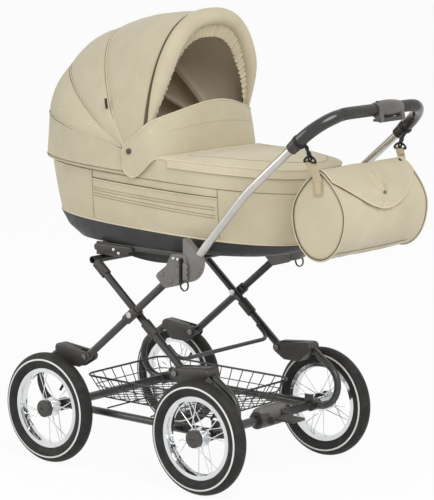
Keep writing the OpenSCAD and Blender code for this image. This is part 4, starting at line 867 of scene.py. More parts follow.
# Arms of the bow, from the hinge to its feet
ARM_Y, ARM_HALF_T, ARM_R = 179.9, 2.8, 8.5
arm_outline = [(HINGE[0] + ARM_R * cosd(a), HINGE[1] + ARM_R * sind(a)) for a in range(90, 271, 15)]
arm_outline += [(x, HINGE[1] - low) for x, low in ((28, 8.3), (34, 8.3), (34, 0.5), (-28, 0.2))]
arms = Shape()
for side in SIDES:
    arms.slab(arm_outline, side * ARM_Y - ARM_HALF_T, side * ARM_Y + ARM_HALF_T, edge=0.8)
arms.piece("bow_arms", [LIT_LINING], *ON_BOW)

# Small plain tab on the hood's seam
tab = Shape()
tab.sweep(resample([(-117, -192, 988), (-113, -194.5, 975), (-109, -196, 962)], 6),
          flat_section(9, 1.4), up=(0, -1, 0.2))
tab.piece("hood_tab", [TAB], "hood_middle", "dark_plastic")

# Wind flap: shares of its length, half width and height along the left half of its two edges
FLAP_LOW = [(0, 1, -.08), (.04, 1, -.3), (.15, 1, -.385), (.28, 1, -.41), (.43, 1, -.32),
            (.6, .998, -.155), (.75, .975, .002), (.88, .87, .03), (.965, .703, .02),
            (.993, .469, .003), (1, .234, -.01), (1, 0, -.018)]
FLAP_TOP = [(0, 1, -.025), (.055, 1, .165), (.175, 1, .267), (.333, 1, .38), (.458, .998, .484),
            (.55, .99, .587), (.64, .966, .662), (.75, .843, .745), (.854, .6, .841),
            (.931, .38, .929), (.979, .19, .981), (1, 0, 1)]
FLAP_T, FLAP_ROWS, FLAP_STITCH_ROW, FLAP_STITCH_END = 2.5, 15, 8, 44
BLUR = np.hanning(15)[1:-1] / np.hanning(15)[1:-1].sum()


def flap_edge(shares):
    """Smooth edge of the flap from its left end round to its right end."""
    along, out, up = np.array(shares, float).T
    x = FLAP_X + FLAP_LEN * along
    left = xyz(x, -FLAP_HALF_W * out, rim_height(x) + FLAP_H * up)
    edge = spaced(np.vstack([left, mirrored(left)[-2::-1]]), 6)
    edge[:, 1] = np.clip(edge[:, 1], -FLAP_HALF_W, FLAP_HALF_W)
    ramp = np.linspace(0, 1, len(edge))
    amount = np.clip(np.minimum(ramp, 1 - ramp) * 12, 0, 1)
    for column in edge.T:
        column += (np.convolve(np.pad(column, 6, "edge"), BLUR, "valid") - column) * amount
    return edge


flap_low, flap_top = flap_edge(FLAP_LOW), flap_edge(FLAP_TOP)
flap_middle = vec(FLAP_X, 0, RIM_Z + FLAP_H / 3)
front_share = 1 - np.abs(np.linspace(-1, 1, len(flap_low)))
flap_rows = []
for t in np.linspace(0, 1, FLAP_ROWS):
    row = flap_low * (1 - t) + flap_top * t
    row[:, 0] += 4 * front_share * hump(t)
    ripple = swell(row, scale=70, seed=6.4, depth=1.6) * math.sin(math.pi * t)
    flap_rows.append(inset(row, flap_middle, -ripple * np.minimum(1, front_share * 4)))
cloth("hood_flap", flap_rows, [inset(r, flap_middle, FLAP_T) for r in flap_rows],
      [CREAM_SPRIG, LIT_LINING], "bassinet", flat=(0.14, length_of(flap_rows[FLAP_ROWS // 2]) * MM),
      held="hung", rests_on=["hood_hinges"], replaces=["wind_flap"])
edging = Shape()
edging.tube(flap_top, 2.3, 8)
edging.tube(flap_low[2:-2], 1.6, 8)
edging.piece("flap_piping", [PIPING], *ON_COT)
stitch_line = inset(sum(flap_rows[FLAP_STITCH_ROW:FLAP_STITCH_ROW + 2]) / 2, flap_middle, -0.1)
threads.stitches(stitch_line[FLAP_STITCH_END:-FLAP_STITCH_END], radius=0.5)


# Apron over the foot end

APRON_HALF = (448.5, 206.5)
APRON_FROM, APRON_TO, APRON_SKIRT, APRON_CROWN, APRON_T = 108.0, 464.3, 17.0, 24.0, 2.5
APRON_OVER = 4.0
APRON_ROWS, APRON_COLUMNS, SKIRT_SHARES = 37, 45, (1.0, 0.66, 0.33)
RIM_COLUMN = len(SKIRT_SHARES)
flap_front = np.array([(abs(y), x + 2.5) for x, y, z in flap_low[len(flap_low) // 2:]
                       if abs(y) < 200])
columns = np.linspace(-1, 1, APRON_COLUMNS)
apron_rows = []
for t in np.linspace(0, 1, APRON_ROWS):
    x = APRON_FROM + (APRON_TO - APRON_FROM) * sind(90 * t)
    half = float(plan_half_w(x, *APRON_HALF))
    edge = rim_height(x) + APRON_OVER
    rise = (0.25 + 0.75 * sind(min(90, 270 * t))) * (1 - t ** 3)
    front = np.interp(np.abs(half * columns), *flap_front.T)
    shift = np.maximum(0, (1 - t) ** 3 * (APRON_FROM - 3 - front))
    row = xyz(x - shift, half * columns, edge + APRON_CROWN * rise * (1 - np.abs(columns) ** 3))
    row[:, 2] += (swell(row, scale=75, seed=2.2, depth=2.2) * (1 - np.abs(columns) ** 4)
                  * math.sin(math.pi * min(1, t * 1.02)))
    drop = APRON_SKIRT + APRON_OVER - 1
    skirt = np.array([[x, -half - 0.3 - s, edge - 1 - drop * s] for s in SKIRT_SHARES])
    apron_rows.append(np.vstack([skirt, row, mirrored(skirt)[::-1]]))
rim_rows, last = apron_rows[:], apron_rows[-1]
for s in (0.4, 1.0):
    row = last + vec(1.25 * s)
    low = rim_height(APRON_TO) + APRON_OVER - (APRON_SKIRT + APRON_OVER) * s
    row[:, 2] = np.minimum(row[:, 2], low)
    apron_rows.append(row)
apron_middle = vec((APRON_FROM + APRON_TO) / 2, 0, TRAY_BOTTOM_Z)
cloth("foot_apron", apron_rows, [inset(r, apron_middle, APRON_T) for r in apron_rows],
      [CREAM_SOFT, LIT_LINING], "bassinet", flat=(0.46, 0.40), held="stretched",
      rests_on=["body_wall"], replaces=["apron"])
apron_trim = Shape()
apron_trim.tube(np.vstack([[r[RIM_COLUMN] for r in rim_rows], last[RIM_COLUMN + 1:-RIM_COLUMN],
                           [r[-RIM_COLUMN - 1] for r in rim_rows[::-1]]]), 2.4, 8)
apron_trim.tube(apron_rows[0][RIM_COLUMN:-RIM_COLUMN] + vec(-0.5, 0, 0.5), 2.2, 8)
apron_trim.tube([r[0] for r in rim_rows] + [r[-1] for r in rim_rows[::-1]], 1.5, 6)
apron_trim.piece("apron_piping", [PIPING], *ON_COT)
OVAL_HALF_SHARE, OVAL_FIRST_ROW, OVAL_ROWS = 0.76, 2, 27
oval = []
for a in np.linspace(0, 180, 60):
    column = RIM_COLUMN + (1 - cosd(a) * OVAL_HALF_SHARE) * (APRON_COLUMNS - 1) / 2
    oval.append(on_grid(apron_rows, OVAL_FIRST_ROW + OVAL_ROWS * max(0.0, sind(a)) ** 0.55, column))
threads.stitches(np.array(oval) + vec(z=0.8), radius=0.6)
# Dark tubes of painted shade along the seams
shade_lines.piece("body_seam_shades", [SEAM_SHADE], *ON_COT)
threads.piece("body_stitches", [THREAD], *ON_COT)

# Mattress: steps in and up of its side, then shares of its size across its quilted crown
MATTRESS_HALF_LEN, MATTRESS_HALF_W, MATTRESS_LOW = 326.6, 164.9, TRAY_BOTTOM_Z + 4.3
MATTRESS_SIDE = ((60, 0.4), (10, 0), (3, 3), (0, 9), (1.5, 14), (2.5, 17), (1.5, 20), (0, 25),
                 (3, 31), (10, 34.5))
MATTRESS_CROWN, CHANNEL_PITCH = 11.0, 109.0
rows = [plan_loop(MATTRESS_HALF_LEN - off, MATTRESS_HALF_W - off, MATTRESS_LOW + z, 0, 96)
        for off, z in MATTRESS_SIDE]
for s in (0.86, 0.72, 0.55, 0.38, 0.2, 0.02):
    z = MATTRESS_LOW + MATTRESS_SIDE[-1][1] + MATTRESS_CROWN * (1 - s * s)
    row = plan_loop(MATTRESS_HALF_LEN * s, MATTRESS_HALF_W * s, z, 0, 96)
    channel = (row[:, 0] - COT_X) % CHANNEL_PITCH - CHANNEL_PITCH / 2
    row[:, 2] += swell(row, scale=60, seed=4.0, depth=1.5) - 2.0 * bell(channel, 6)
    rows.append(row)
mattress = Shape()
mattress.grid(rows, loop=True, close=BOTH)
mattress_piece = mattress.piece("cot_mattress", [CREAM_SOFT], slot="cream_fabric")
puff(mattress_piece, 6, 4, 6, "bassinet", "mattress")


# Wheels: white rings on the tyres' sides, and valves

RING_ANGLES = (9.5, 20.5)
VALVE_ANGLE = 53.0
VALVE = [(0, -28), (3.4, -28), (3.6, -26), (3.6, -16), (3.0, -15), (3.0, -13), (4.2, -12),
         (4.6, -2), (5.2, 0), (0, 0)]
for end_side, end in ((-1, "front"), (1, "rear")):
    for side, hand in HANDS:
        middle = vec(end_side * WHEEL_X, side * WHEEL_Y, WHEEL_R)
        rings, valve = Shape(), Shape()
        for face in SIDES:
            profile = [(TYRE_MID_R + r * sind(a), face * r * cosd(a)) for r, angles in (
                (TYRE_R + 0.45, np.linspace(*RING_ANGLES, 7)), (TYRE_R - 1, RING_ANGLES[::-1]))
                for a in angles]
            rings.lathe(profile, middle, count=144, closed=True)
        rings.piece(f"white_ring_{end}_{hand}", [WHITE_RUBBER], f"wheel_{end}_{hand}", "tyre")
        out = vec(cosd(VALVE_ANGLE), 0, sind(VALVE_ANGLE))
        valve.lathe(VALVE, middle + out * (RIM_IN_R + 1), axis=out, count=14)
        valve.piece(f"valve_{end}_{hand}", [BLACK], f"wheel_{end}_{hand}", "tyre")


# Wire basket

BASKET_TOP, BASKET_LOW = (233.0, 160.0), (205.0, 132.0)
FLOOR_Z, BASKET_TOP_Z, MID_WIRE_SHARE = 166.6, 226.5, 0.52
TOP_CORNER_R, MID_CORNER_R, LOW_CORNER_R = 34, 31, 28
GRILLE_PITCH, UPRIGHTS = 40.0, 40
BARS_X, BARS_Z = (-99.5, 54.2), 162.9


def rounded_loop(half, z, radius, count=128):
    corners = [(cx * (half[0] - radius) + radius * cosd(a),
                cy * (half[1] - radius) + radius * sind(a), z)
               for cx, cy, a0 in ((1, 1, 0), (-1, 1, 90), (-1, -1, 180), (1, -1, 270))
               for a in np.linspace(a0, a0 + 90, 10)]
    return closed_loop(corners, count)


basket = Shape()
mid_half = [a * MID_WIRE_SHARE + b * (1 - MID_WIRE_SHARE) for a, b in zip(BASKET_TOP, BASKET_LOW)]
mid_z = FLOOR_Z + MID_WIRE_SHARE * (BASKET_TOP_Z - FLOOR_Z)
basket.tube(rounded_loop(BASKET_TOP, BASKET_TOP_Z, TOP_CORNER_R), 2.9, 8, closed=True)
basket.tube(rounded_loop(mid_half, mid_z, MID_CORNER_R), 1.4, 6, closed=True)
basket.tube(rounded_loop(BASKET_LOW, FLOOR_Z, LOW_CORNER_R), 2.2, 8, closed=True)
for top, low in list(zip(rounded_loop(BASKET_TOP, BASKET_TOP_Z, TOP_CORNER_R, 20 * UPRIGHTS),
                         rounded_loop(BASKET_LOW, FLOOR_Z, LOW_CORNER_R, 20 * UPRIGHTS)))[::20]:
    basket.tube([top, low], 1.35, 6)
low_x, low_y = BASKET_LOW
for slope in SIDES:
    for c in np.arange(-8, 9) * GRILLE_PITCH:
        ends = [(x, slope * (x - c)) for x in (-low_x, low_x) if abs(x - c) <= low_y]
        ends += [(c + slope * y, y) for y in (-low_y, low_y) if abs(c + slope * y) < low_x]
        if len(ends) == 2 and np.linalg.norm(np.subtract(*ends)) > 20:
            basket.tube([(*e, FLOOR_Z + 0.6 * slope) for e in ends], 1.25, 6)
for x in BARS_X:
    basket.tube(xyz(x, np.linspace(-RAIL_Y, RAIL_Y, 5), BARS_Z), 2.2, 8)
basket.piece("wire_basket", [WIRE], "front_frame", "basket_wire", replaces=["basket"])


# Handle: collars and corners of the grips, their seams, and the control housing

UPPER = vec(cosd(UPPER_ANGLE), 0, sind(UPPER_ANGLE))
UNDER = vec(sind(UPPER_ANGLE), 0, -cosd(UPPER_ANGLE))
BEND = vec(HANDLE_BEND[0], 0, HANDLE_BEND[1])
CROSSBAR = BEND + UPPER_LEN * UPPER
GRIP_FROM = BEND + 0.646 * UPPER_LEN * UPPER
COLLAR = [(GRIP_R, 16), (17.2, 15), (17.4, 13), (17.4, 3), (17.0, 0), (15.5, -2.5), (12.2, -3),
          (10.9, -3)]
CONTROL_Y, CONTROL_END_R, CONTROL_SWELL = (-23.0, 83.0), 15.9, 6.1
CHEEKS_Y = ((-22.0, -7.6), (67.6, 82.0))
CORNER_TURN, CORNER_STEPS, CORNER_STRAIGHT = (-24, 72), 30, 8
CONTROL_BUTTON = [(0, 0), (5, 0), (5, 2), (4, 3), (0, 3.3)]
collars, corners, grip_seams = Shape(), Shape(), Shape()
for side in SIDES:
    collars.lathe(COLLAR, GRIP_FROM + vec(y=side * FRONT_LEG_Y), axis=UPPER, count=32)
    centre = CROSSBAR - CORNER_R * UPPER + vec(y=side * (FRONT_LEG_Y - CORNER_R))
    straight = [vec(y=side) + np.radians(a) * UPPER
                for a in np.linspace(CORNER_TURN[0], 0, CORNER_STRAIGHT)]
    bent = [sind(a) * UPPER + vec(y=side * cosd(a))
            for a in np.linspace(*CORNER_TURN, CORNER_STEPS)[CORNER_STRAIGHT:]]
    nth = np.arange(CORNER_STEPS)
    thick = GRIP_R + 0.9 * np.minimum(1, np.minimum(nth, nth[::-1]) / 3)
    corners.tube(centre + CORNER_R * np.array(straight + bent), thick, 20)
collars.piece("grip_collars", [DARK], *ON_HANDLE)
corners.piece("grip_corners", [GLOSS], "handle", "grip")
for grip_y in ((-122, -26), (86, 122)):
    grip_seams.stitches(CROSSBAR + UNDER * (GRIP_R + 0.2) + xyz(0, np.linspace(*grip_y, 20), 0),
                        radius=0.7)
grip_seams.piece("grip_stitches", [GLOSS], "handle", "grip")
housing = Shape()
along = np.linspace(0, 1, 41)
housing.tube(xyz(CROSSBAR[0], CONTROL_Y[0] + (CONTROL_Y[1] - CONTROL_Y[0]) * along, CROSSBAR[2]),
             CONTROL_END_R + CONTROL_SWELL * sind(180 * np.clip(along, 0.02, 0.98)) ** 0.6, 36)
cheek = hull_outline([(CROSSBAR[0], CROSSBAR[2], 16.5, 0),
                      (CROSSBAR[0] + 16, CROSSBAR[2] - 25, 6.4, 0)])
for cheek_y in CHEEKS_Y:
    housing.slab(cheek, *cheek_y, edge=3.0)
housing.piece("control_housing", [CONTROL], *ON_HANDLE, replaces=["handle_control"])
control = Shape()
control.lathe(CONTROL_BUTTON, CROSSBAR + vec(0, -9, 18.2), axis=(0, 0, 1), count=24)
control.piece("control_button", [BUTTON_RED], *ON_HANDLE)


# Bag

BAG_OPEN_ANGLES = (128, 410)
BAG_END_RINGS = ((1.0, -1.6), (0.97, 0.1), (0.85, 1.4), (0.6, 2.4), (0.3, 2.9), (0.02, 3.0))


def bag_point(angle, grow, y):
    """Point of the bag's section, grown all round, at a distance along Y."""
    angle = np.asarray(angle, float)
    taper = 1 - BAG_TAPER * np.maximum(0, sind(angle)) ** 2
    return xyz(BAG_X + (BAG_HALF_W + grow) * cosd(angle) * taper, y,
               BAG_Z + (BAG_HALF_H + grow) * sind(angle))


def to_bag_axis(points, depth):
    """Points moved towards the bag's long axis."""
    return inset(points, xyz(BAG_X, np.asarray(points)[..., 1], BAG_Z), depth)


stations = np.linspace(-1, 1, 41)
pinch = -2.6 * (1 - np.abs(stations) ** 6)
rows_out = []
for a in np.linspace(*BAG_OPEN_ANGLES, 61):
    row = bag_point(a, 0, stations * (BAG_HALF_LEN - 1.5))
    crease = swell(row, scale=48, seed=9.1, depth=3.0) + swell(row, scale=22, seed=2.9, depth=0.7)
    crease *= np.minimum(1, (1 - np.abs(stations)) * 6)
    row = to_bag_axis(row, -(pinch + np.minimum(crease, 1.6)))
    row[:, 2] -= 2.5 * (1 - stations ** 2) * max(0.0, -sind(a))
    rows_out.append(row)
bag, bag_trim, bag_seams_and_shade = Shape(), Shape(), Shape()
bag.shell(rows_out, [to_bag_axis(row, 2.2) for row in rows_out], (0, 1))
for side in SIDES:
    discs = []
    for share, out in BAG_END_RINGS:
        disc = bag_point(turns(96), 0, 0) * vec(share, 0, share)
        disc += vec(BAG_X * (1 - share), side * (BAG_HALF_LEN - 2.6 + out), BAG_Z * (1 - share))
        disc[:, 1] += side * swell(disc, scale=40, seed=3.3, depth=1.2) * (1 - share)
        discs.append(disc)
    bag.grid(discs, loop=True, close=LAST)
    gusset = [bag_point(np.linspace(48, 130, 24), -shrink, side * (BAG_HALF_LEN - back_y))
              for back_y, shrink in ((1.5, 0.4), (12, 1.4), (26, 6.0))]
    bag.shell(gusset, [to_bag_axis(row, 2.0) for row in gusset], (0, 1))
    # Piping round each end, and two dark tubes of painted shade in its seams
    for shape, grow, back_y, radius, sides in (
            (bag_trim, 0.3, 1.6, 2.3, 8), (bag_seams_and_shade, -0.6, 4.6, 1.5, 6),
            (bag_seams_and_shade, -3.0, 0.9, 1.3, 6)):
        shape.tube(bag_point(turns(120), grow, side * (BAG_HALF_LEN - back_y)), radius, sides,
                   closed=True)
bag_piece = bag.piece("bag_pouch", [CREAM, LIT_LINING], *ON_BAG, replaces=["bag_body"])
for angle in BAG_OPEN_ANGLES:
    bag_trim.tube(bag_point(angle, -1.6, np.linspace(-1, 1, 9) * (BAG_HALF_LEN - 4)), 2.0, 8)
# Low seam stitches drawn in the dark painted-shade cloth
low_seam = bag_point(305, -1.2, np.linspace(-170, 170, 40))
low_seam[:, 2] -= 2.2 * (1 - (low_seam[:, 1] / BAG_HALF_LEN) ** 2)
bag_seams_and_shade.stitches(low_seam, radius=0.8)
bag_trim.piece("bag_piping", [CREAM], *ON_BAG)
bag_seams_and_shade.piece("bag_seams_and_shade", [GROOVE_SHADE], *ON_BAG)

# Bag lid, drawn in round its button: folds are their turn about the button and their depth
BUTTON_AT = vec(657.0, 0.0, 773.0)
LID_COLUMNS, LID_ROWS, LID_LIFT, LID_T = 121, 73, 6.0, 2.6
LID_FOLDS = ((58, 7.0), (76, -4.0), (96, 6.5), (138, 4.0), (24, 4.5))
LID_BUTTON = [(0, -2), (4.9, -2), (5.0, 0), (4.4, 1.4), (2.4, 2.1), (0, 2.3)]
STITCH_IN, LID_BUTTON_ROW = 6, 10
LID_TAB_ROWS, LID_TAB_COLUMN = (28, 26, 24, 22), 112
lid_stations = np.linspace(-1, 1, LID_COLUMNS)
lid_turns = LID_TURN_EDGE + (LID_TURN - LID_TURN_EDGE) * cosd(90 * lid_stations)
lid_rows = []
for t in np.linspace(1, 0, LID_ROWS):
    row = bag_point(LID_ANGLE - lid_turns * t, LID_LIFT, lid_stations * LID_HALF_LEN)
    away = np.linalg.norm((row - BUTTON_AT) * vec(0.7, 1, 1), axis=1)
    around = np.arctan2(row[:, 2] - BUTTON_AT[2], row[:, 1])
    gather = -3.2 * bell(away, 16) + 2.4 * np.cos(around * 7 + 0.6) * bell(away - 26, 24)
    for turn, depth in LID_FOLDS:
        gather += depth * bell(np.degrees(around) - turn, 10) * bell(away - 40, 32)
    rumple = swell(row, scale=58, seed=1.7, depth=2.6) * math.sin(math.pi * (0.1 + 0.85 * t))
    lift = np.clip(gather + rumple, -3.0, 7.5) * np.minimum(1, (1 - np.abs(lid_stations)) * 10)
    lid_rows.append(to_bag_axis(row, -lift))
cloth("bag_flap", lid_rows, [to_bag_axis(row, LID_T) for row in lid_rows], [CREAM, LIT_LINING],
      "bag_lid", flat=(0.328, 0.27), held="draped", rests_on=["bag_pouch"], replaces=["bag_lid"])
bag_middle = vec(BAG_X, 0, BAG_Z)
lid, k = np.array(lid_rows), STITCH_IN
lid_outline = np.vstack([lid[::-1, 0], lid[0, 1:-1], lid[:, -1]])
stitch_line = np.vstack([lid[:k:-1, k], lid[k, k + 1:-k - 1], lid[k:, -k - 1]])
lid_trim = Shape()
lid_trim.tube(inset(lid_outline, bag_middle, 1.2), 2.2, 8)
lid_trim.stitches(inset(stitch_line, bag_middle, -0.1), radius=0.5)
lid_trim.piece("lid_piping", [PIPING], *ON_LID)
button = Shape()
button.lathe(LID_BUTTON, lid[LID_BUTTON_ROW, LID_COLUMNS // 2], axis=(0.85, 0, 0.35), count=24)
button.piece("lid_button", [DULL], "bag_lid", "bright_metal")
lid_tab = Shape()
lid_tab.sweep([lid[j, LID_TAB_COLUMN] + vec(1.4, 0.6, 1.0) for j in LID_TAB_ROWS],
              flat_section(8, 1.4), up=(1, 0, 0.6))
lid_tab.piece("lid_tab", [TAB], "bag_lid", "dark_plastic")

# Straps, rings and snap hooks of the bag, and the bands that hold them on the handle
STRAP_W, STRAP_T, STRAP_X = 25.0, 2.0, 573.0
PATCH_Z, PATCH_HALF_W = (793, 826), 10.0
RING_AT = vec(555.6, 191, 873.6)
RING_OUTLINE = ((-17, -1), (17, -1), (17.5, 3), (11, 9.5), (5, 12), (-5, 12), (-11, 9.5),
                (-17.5, 3))
BAND_R, HOOK_RADII = 17.8, [4.2, 5.2, 5.4, 4.0, 4.0, 5.8, 6.0, 5.2, 4.0]
EYE_R = 6.5
straps, hooks, bands = Shape(), Shape(), Shape()
for side in SIDES:
    flip = vec(1, side, 1)
    face_y = BAG_HALF_LEN + 2.3
    strap = smooth_curve(np.array([
        (STRAP_X, face_y, 789), (572, face_y + 0.4, 812), (570, face_y + 1.5, 832), (563, 186, 856),
        RING_AT + vec(0, 1.8, -3), RING_AT + vec(0, -0.5, 1.5), RING_AT + vec(0, -2.6, -4),
        (564, 182.6, 856)]) * flip, 60)
    straps.sweep(strap, flat_section(STRAP_W, STRAP_T), up=(0, side, 0.15))
    left, right = STRAP_X - PATCH_HALF_W, STRAP_X + PATCH_HALF_W
    for z in PATCH_Z:
        straps.stitches([(x, side * (face_y + 1.6), z) for x in (left, right)], 0.6, kind=1)
    for x in (left, right):
        straps.stitches([(x, side * (face_y + out), z) for out, z in zip((1.6, 1.8), PATCH_Z)],
                        0.6, kind=1)
    ring_at = RING_AT * flip
    hooks.tube(closed_loop([ring_at + vec(x, 0, z) for x, z in RING_OUTLINE], 48), 2.9, 10,
               closed=True)
    hold = HOOK + UNDER + vec(y=side * FRONT_LEG_Y)
    spokes = np.array([vec(y=s) - c * UNDER for c, s in circle(48)])
    bands.sweep(hold + BAND_R * spokes, flat_section(9, 2.6), up=spokes, closed=True)
    end = ring_at + vec(z=12)
    hooks.tube(resample([hold + 20 * unit(UNDER - vec(y=side)), end], 9), HOOK_RADII, 12)
    hooks.tube([end + vec(0, EYE_R * s, EYE_R * c - 3) for c, s in circle(24)], 2.8, 8, closed=True)
straps_piece = straps.piece("bag_webbing", [WEBBING, THREAD], "bag", "strap_fabric",
                            replaces=["bag_straps"])
hooks.piece("snap_hooks", [BLACK], "bag", "dark_plastic")
bands.piece("hook_bands", [BLACK], *ON_HANDLE)


# Chassis: rounded covers of the suspension springs, slotted for the legs

COVER_CIRCLES = [(*FOOT, 15.0, 0.3), (182.8, 276, 9.0, 0.85), (228.8, 276, 9.0, 0.85),
                 (182.8, 306, 9.0, 0.85), (255.0, 309.0, 14.0, 0.85)]
SLOT_END_X, SLOT_GAP, SLOT_LAP = 185.2, 0.2, 0.1


def cover(shape, end, side, profile, clip=-np.inf):
    """Slice of a spring cover: profile of (distance along Y, setback), cut off before clip."""
    rows = []
    for y, back in profile:
        x, z = hull_outline(COVER_CIRCLES, back).T
        rows.append(xyz(end * np.maximum(x, clip), side * y, z))
    shape.grid(rows, loop=True, close=BOTH)


def rounding(y_edge, depth, back):
    """Steps of a rounded edge, from the edge inwards."""
    return [(y_edge - depth * (1 - cosd(a)), back * (1 - sind(a))) for a in (0, 15, 32, 50, 70, 90)]


for name, body, end, y_in, leg_y, node in (
        ("rear_spring_covers", "rear_frame", 1, 188.0, REAR_LEG_Y, "rear_spring_housings"),
        ("front_spring_covers", "front_frame", -1, 199.0, FRONT_LEG_Y, "front_spring_housings")):
    covers = Shape()
    slot_in, slot_out = leg_y - LEG_R - SLOT_GAP, leg_y + LEG_R + SLOT_GAP
    outer = rounding(HOUSING_Y, min(10.0, HOUSING_Y - slot_out), 8.0)
    inner = rounding(y_in, -min(9.0, slot_in - y_in), 7.0)
    if outer[-1][0] > slot_out + SLOT_LAP:
        outer.append((slot_out, 0))
    if inner[-1][0] < slot_in - SLOT_LAP:
        inner.append((slot_in, 0))
    for side in SIDES:
        cover(covers, end, side, outer)
        cover(covers, end, side, inner)
        cover(covers, end, side, [(slot_out + SLOT_LAP, 0), (slot_in - SLOT_LAP, 0)], SLOT_END_X)
    covers.piece(name, [DARK], body, "dark_plastic", replaces=[node])

# Brackets, lock pulls, sleeves at the crossing and feet of the carrier
LOCK_X, LOCK_Z, LOCK_Y = (178.6, 185.4), (536.0, 602.2), (238.1, 243.0)
PULL_MIDDLE = (194, 533)
PULL_LOOP = ((182, 546), (181, 534), (185, 523), (194, 518.5), (203.5, 523), (207, 533),
             (204.5, 543))
RACK = [(189, 590)] + [(201 + 4 * (k % 2), 588 - 7 * k) for k in range(7)] + [(189, 546)]
SLEEVE = [(10.2, -25), (12.5, -25), (14, -23), (14, 23), (12.5, 25), (10.2, 25)]
SLEEVE_AT = (-2, 429.2)
CARRIER_FOOT = [(-158, 590, 10, 0), (-120, 584, 13, 0), (-86, 583, 14, 0), (-40, 594, 7, 0)]
CARRIER_FOOT_Y = (178.0, 189.0)
# Rivets: x, z, radius
BRACKET_BOSSES = ((116, 553, 7.0), (146, 537, 6.5))
BRACKET_RIVETS = ((156, 598, 4.6), (171, 597, 4.6))
CARRIER_BOLTS = ((-96, 588, 5.0), (-78, 580, 5.0))


def rivets(shape, places, y, side, height):
    for x, z, radius in places:
        profile = [(0, -1.5), (radius, -1.5), (radius, 0.3)]
        profile += [(radius * cosd(a), 0.3 + height * sind(a)) for a in np.linspace(15, 90, 6)]
        shape.lathe(profile, (x, side * y, z), axis=(0, side, 0), count=20)


leg_way = vec(cosd(LEG_ANGLE), 0, sind(LEG_ANGLE))
plates, studs, sleeves, pulls, feet, bolts = (Shape() for _ in range(6))
for side in SIDES:
    rivets(plates, BRACKET_BOSSES, BRACKET_Y + 1.2, side, 2.4)
    rivets(studs, BRACKET_RIVETS, BRACKET_Y + 1.2, side, 3.2)
    plates.slab(RACK, side * (BRACKET_Y + 0.2), side * (BRACKET_Y + 4.0), edge=0.8)
    bar = [(LOCK_X[i], LOCK_Z[k]) for i, k in ((0, 0), (1, 0), (1, 1), (0, 1))]
    pulls.slab(closed_loop(bar, 40), *(side * y for y in LOCK_Y), edge=1.2)
    y = side * sum(LOCK_Y) / 2
    loop = smooth_curve([(x, y, z) for x, z in PULL_LOOP], 48)
    pulls.sweep(loop, flat_section(4.6, 3.0), up=loop - vec(PULL_MIDDLE[0], y, PULL_MIDDLE[1]))
    sleeves.lathe(SLEEVE, (SLEEVE_AT[0], side * FRONT_LEG_Y, SLEEVE_AT[1]), axis=leg_way, count=32,
                  closed=True)
    feet.slab(hull_outline(CARRIER_FOOT), *(side * y for y in CARRIER_FOOT_Y), edge=4.0)
    rivets(bolts, CARRIER_BOLTS, CARRIER_FOOT_Y[1], side, 3.0)
plates.piece("bracket_details", [GREY], "front_legs", "grey_plastic")
studs.piece("bracket_rivets", [STEEL], "front_legs", "bright_metal")
pulls.piece("lock_pulls", [BLACK], "lock_bars", "dark_plastic", replaces=["lock_bars"])
sleeves.piece("crossing_sleeves", [DARK], "front_legs", "dark_plastic")
feet.piece("carrier_feet", [DARK], "carrier", "dark_plastic")
bolts.piece("carrier_bolts", [STEEL], "carrier", "bright_metal")

# Ridged cover of the brake on the rear axle: its reach ahead, behind, above and below the axle
BRAKE_Y, RIDGE_PITCH = (-30.0, 86.0), 10.0
BRAKE_AHEAD, BRAKE_BEHIND, BRAKE_ABOVE, BRAKE_BELOW = 25.0, 15.5, 33.0, 23.6
across, up = circle(48).T
wide = np.where(across < 0, BRAKE_AHEAD, BRAKE_BEHIND) * power(across, 0.8)
tall = np.where(up > 0, BRAKE_ABOVE, BRAKE_BELOW) * power(up, 0.8)
rows = []
for y in [BRAKE_Y[0], *np.linspace(BRAKE_Y[0] + 0.5, BRAKE_Y[1] - 0.5, 80), BRAKE_Y[1]]:
    u = abs(2 * y - sum(BRAKE_Y)) / (BRAKE_Y[1] - BRAKE_Y[0])
    ridge = 0.03 * math.cos(2 * math.pi * y / RIDGE_PITCH) if u < 0.6 else 0.0
    size = max(0.55, (1 - u ** 9) ** (1 / 5)) + ridge
    rows.append(xyz(WHEEL_X + wide * size, y, WHEEL_R + tall * size))
guard = Shape()
guard.grid(rows, loop=True, close=BOTH)
guard.piece("brake_cover", [GREY], "rear_frame", "grey_plastic")


# Floor, light and camera

FLOOR_HALF, FLOOR_LOW, FLOOR_COLOUR, FLOOR_WHITE_SHARE = 30, -0.0006, (0.95, 0.95, 0.945, 1), 0.93
WORLD_LEVEL, LAMP_AIM = 0.5, (0, 0, 0.7)
CAMERA_AT, CAMERA_AIM = (3.79871, -4.46371, 1.53458), (0.10317, 0, 0.58427)
CAMERA_LENS, CAMERA_SENSOR, CAMERA_FAR = 159.33, 36, 100


def white_where_seen(tree, shader, white, output, share=1.0):
    """Mix a white into a shader for what the camera, mirrors and glass see, but not as light."""
    path = add_node(tree, "ShaderNodeLightPath").outputs
    seen = path["Is Camera Ray"]
    for operation, other in (("MAXIMUM", path["Is Glossy Ray"]),
                             ("MAXIMUM", path["Is Transmission Ray"]), ("MULTIPLY", share)):
        seen = add_node(tree, "ShaderNodeMath", {0: seen, 1: other}, operation=operation).outputs[0]
    mix = add_node(tree, "ShaderNodeMixShader",
                   {0: seen, 1: shader.outputs[0], 2: white.outputs[0]})
    tree.links.new(mix.outputs[0], tree.nodes[output].inputs["Surface"])


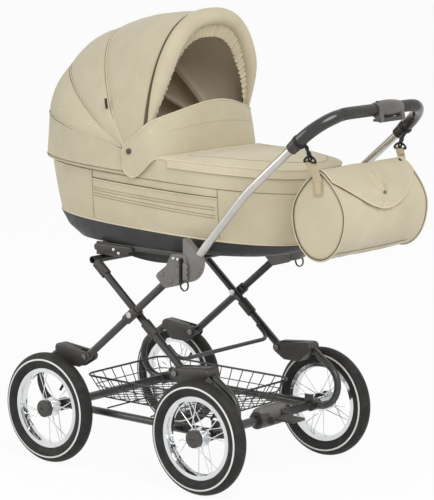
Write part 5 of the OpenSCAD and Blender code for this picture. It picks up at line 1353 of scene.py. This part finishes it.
def stage_floor():
    mesh = bpy.data.meshes.new("floor")
    corners = [(x * FLOOR_HALF, y * FLOOR_HALF, FLOOR_LOW)
               for x, y in ((-1, -1), (1, -1), (1, 1), (-1, 1))]
    mesh.from_pydata(corners, [], [(0, 1, 2, 3)])
    obj = bpy.data.objects.new("floor", mesh)
    bpy.context.scene.collection.objects.link(obj)
    material = bpy.data.materials.new("floor_white")
    material.use_nodes = True
    tree = material.node_tree
    shader = tree.nodes["Principled BSDF"]
    shader.inputs["Base Color"].default_value = FLOOR_COLOUR
    shader.inputs["Roughness"].default_value = 0.9
    white_where_seen(tree, shader, tree.nodes.new("ShaderNodeEmission"), "Material Output",
                     FLOOR_WHITE_SHARE)
    mesh.materials.append(material)


def studio_world():
    world = bpy.data.worlds.new("studio")
    bpy.context.scene.world = world
    world.use_nodes = True
    tree = world.node_tree
    light, white = tree.nodes["Background"], tree.nodes.new("ShaderNodeBackground")
    for background, strength in ((light, WORLD_LEVEL), (white, 1.0)):
        background.inputs["Color"].default_value = (1, 1, 1, 1)
        background.inputs["Strength"].default_value = strength
    white_where_seen(tree, light, white, "World Output")


def aimed(name, data, place, aim):
    """Lamp or camera in the scene, turned towards a point."""
    obj = bpy.data.objects.new(name, data)
    obj.location = place
    obj.rotation_euler = (Vector(aim) - Vector(place)).to_track_quat("-Z", "Y").to_euler()
    bpy.context.scene.collection.objects.link(obj)
    return obj


def lamp(name, place, size, watts):
    data = bpy.data.lights.new(name, "AREA")
    data.shape = "DISK"
    data.size = size
    data.energy = watts
    aimed(name, data, place, LAMP_AIM)


stage_floor()
studio_world()
lamp("key", (-3.0, -3.6, 2.4), size=3.0, watts=58)
lamp("fill", (3.3, -1.6, 3.5), size=2.8, watts=112)

camera = bpy.data.cameras.new("photo_view")
camera.lens = CAMERA_LENS
camera.sensor_width = CAMERA_SENSOR
camera.clip_end = CAMERA_FAR
bpy.context.scene.camera = aimed("photo_view", camera, CAMERA_AT, CAMERA_AIM)
bpy.context.scene.view_settings.view_transform = "Standard"
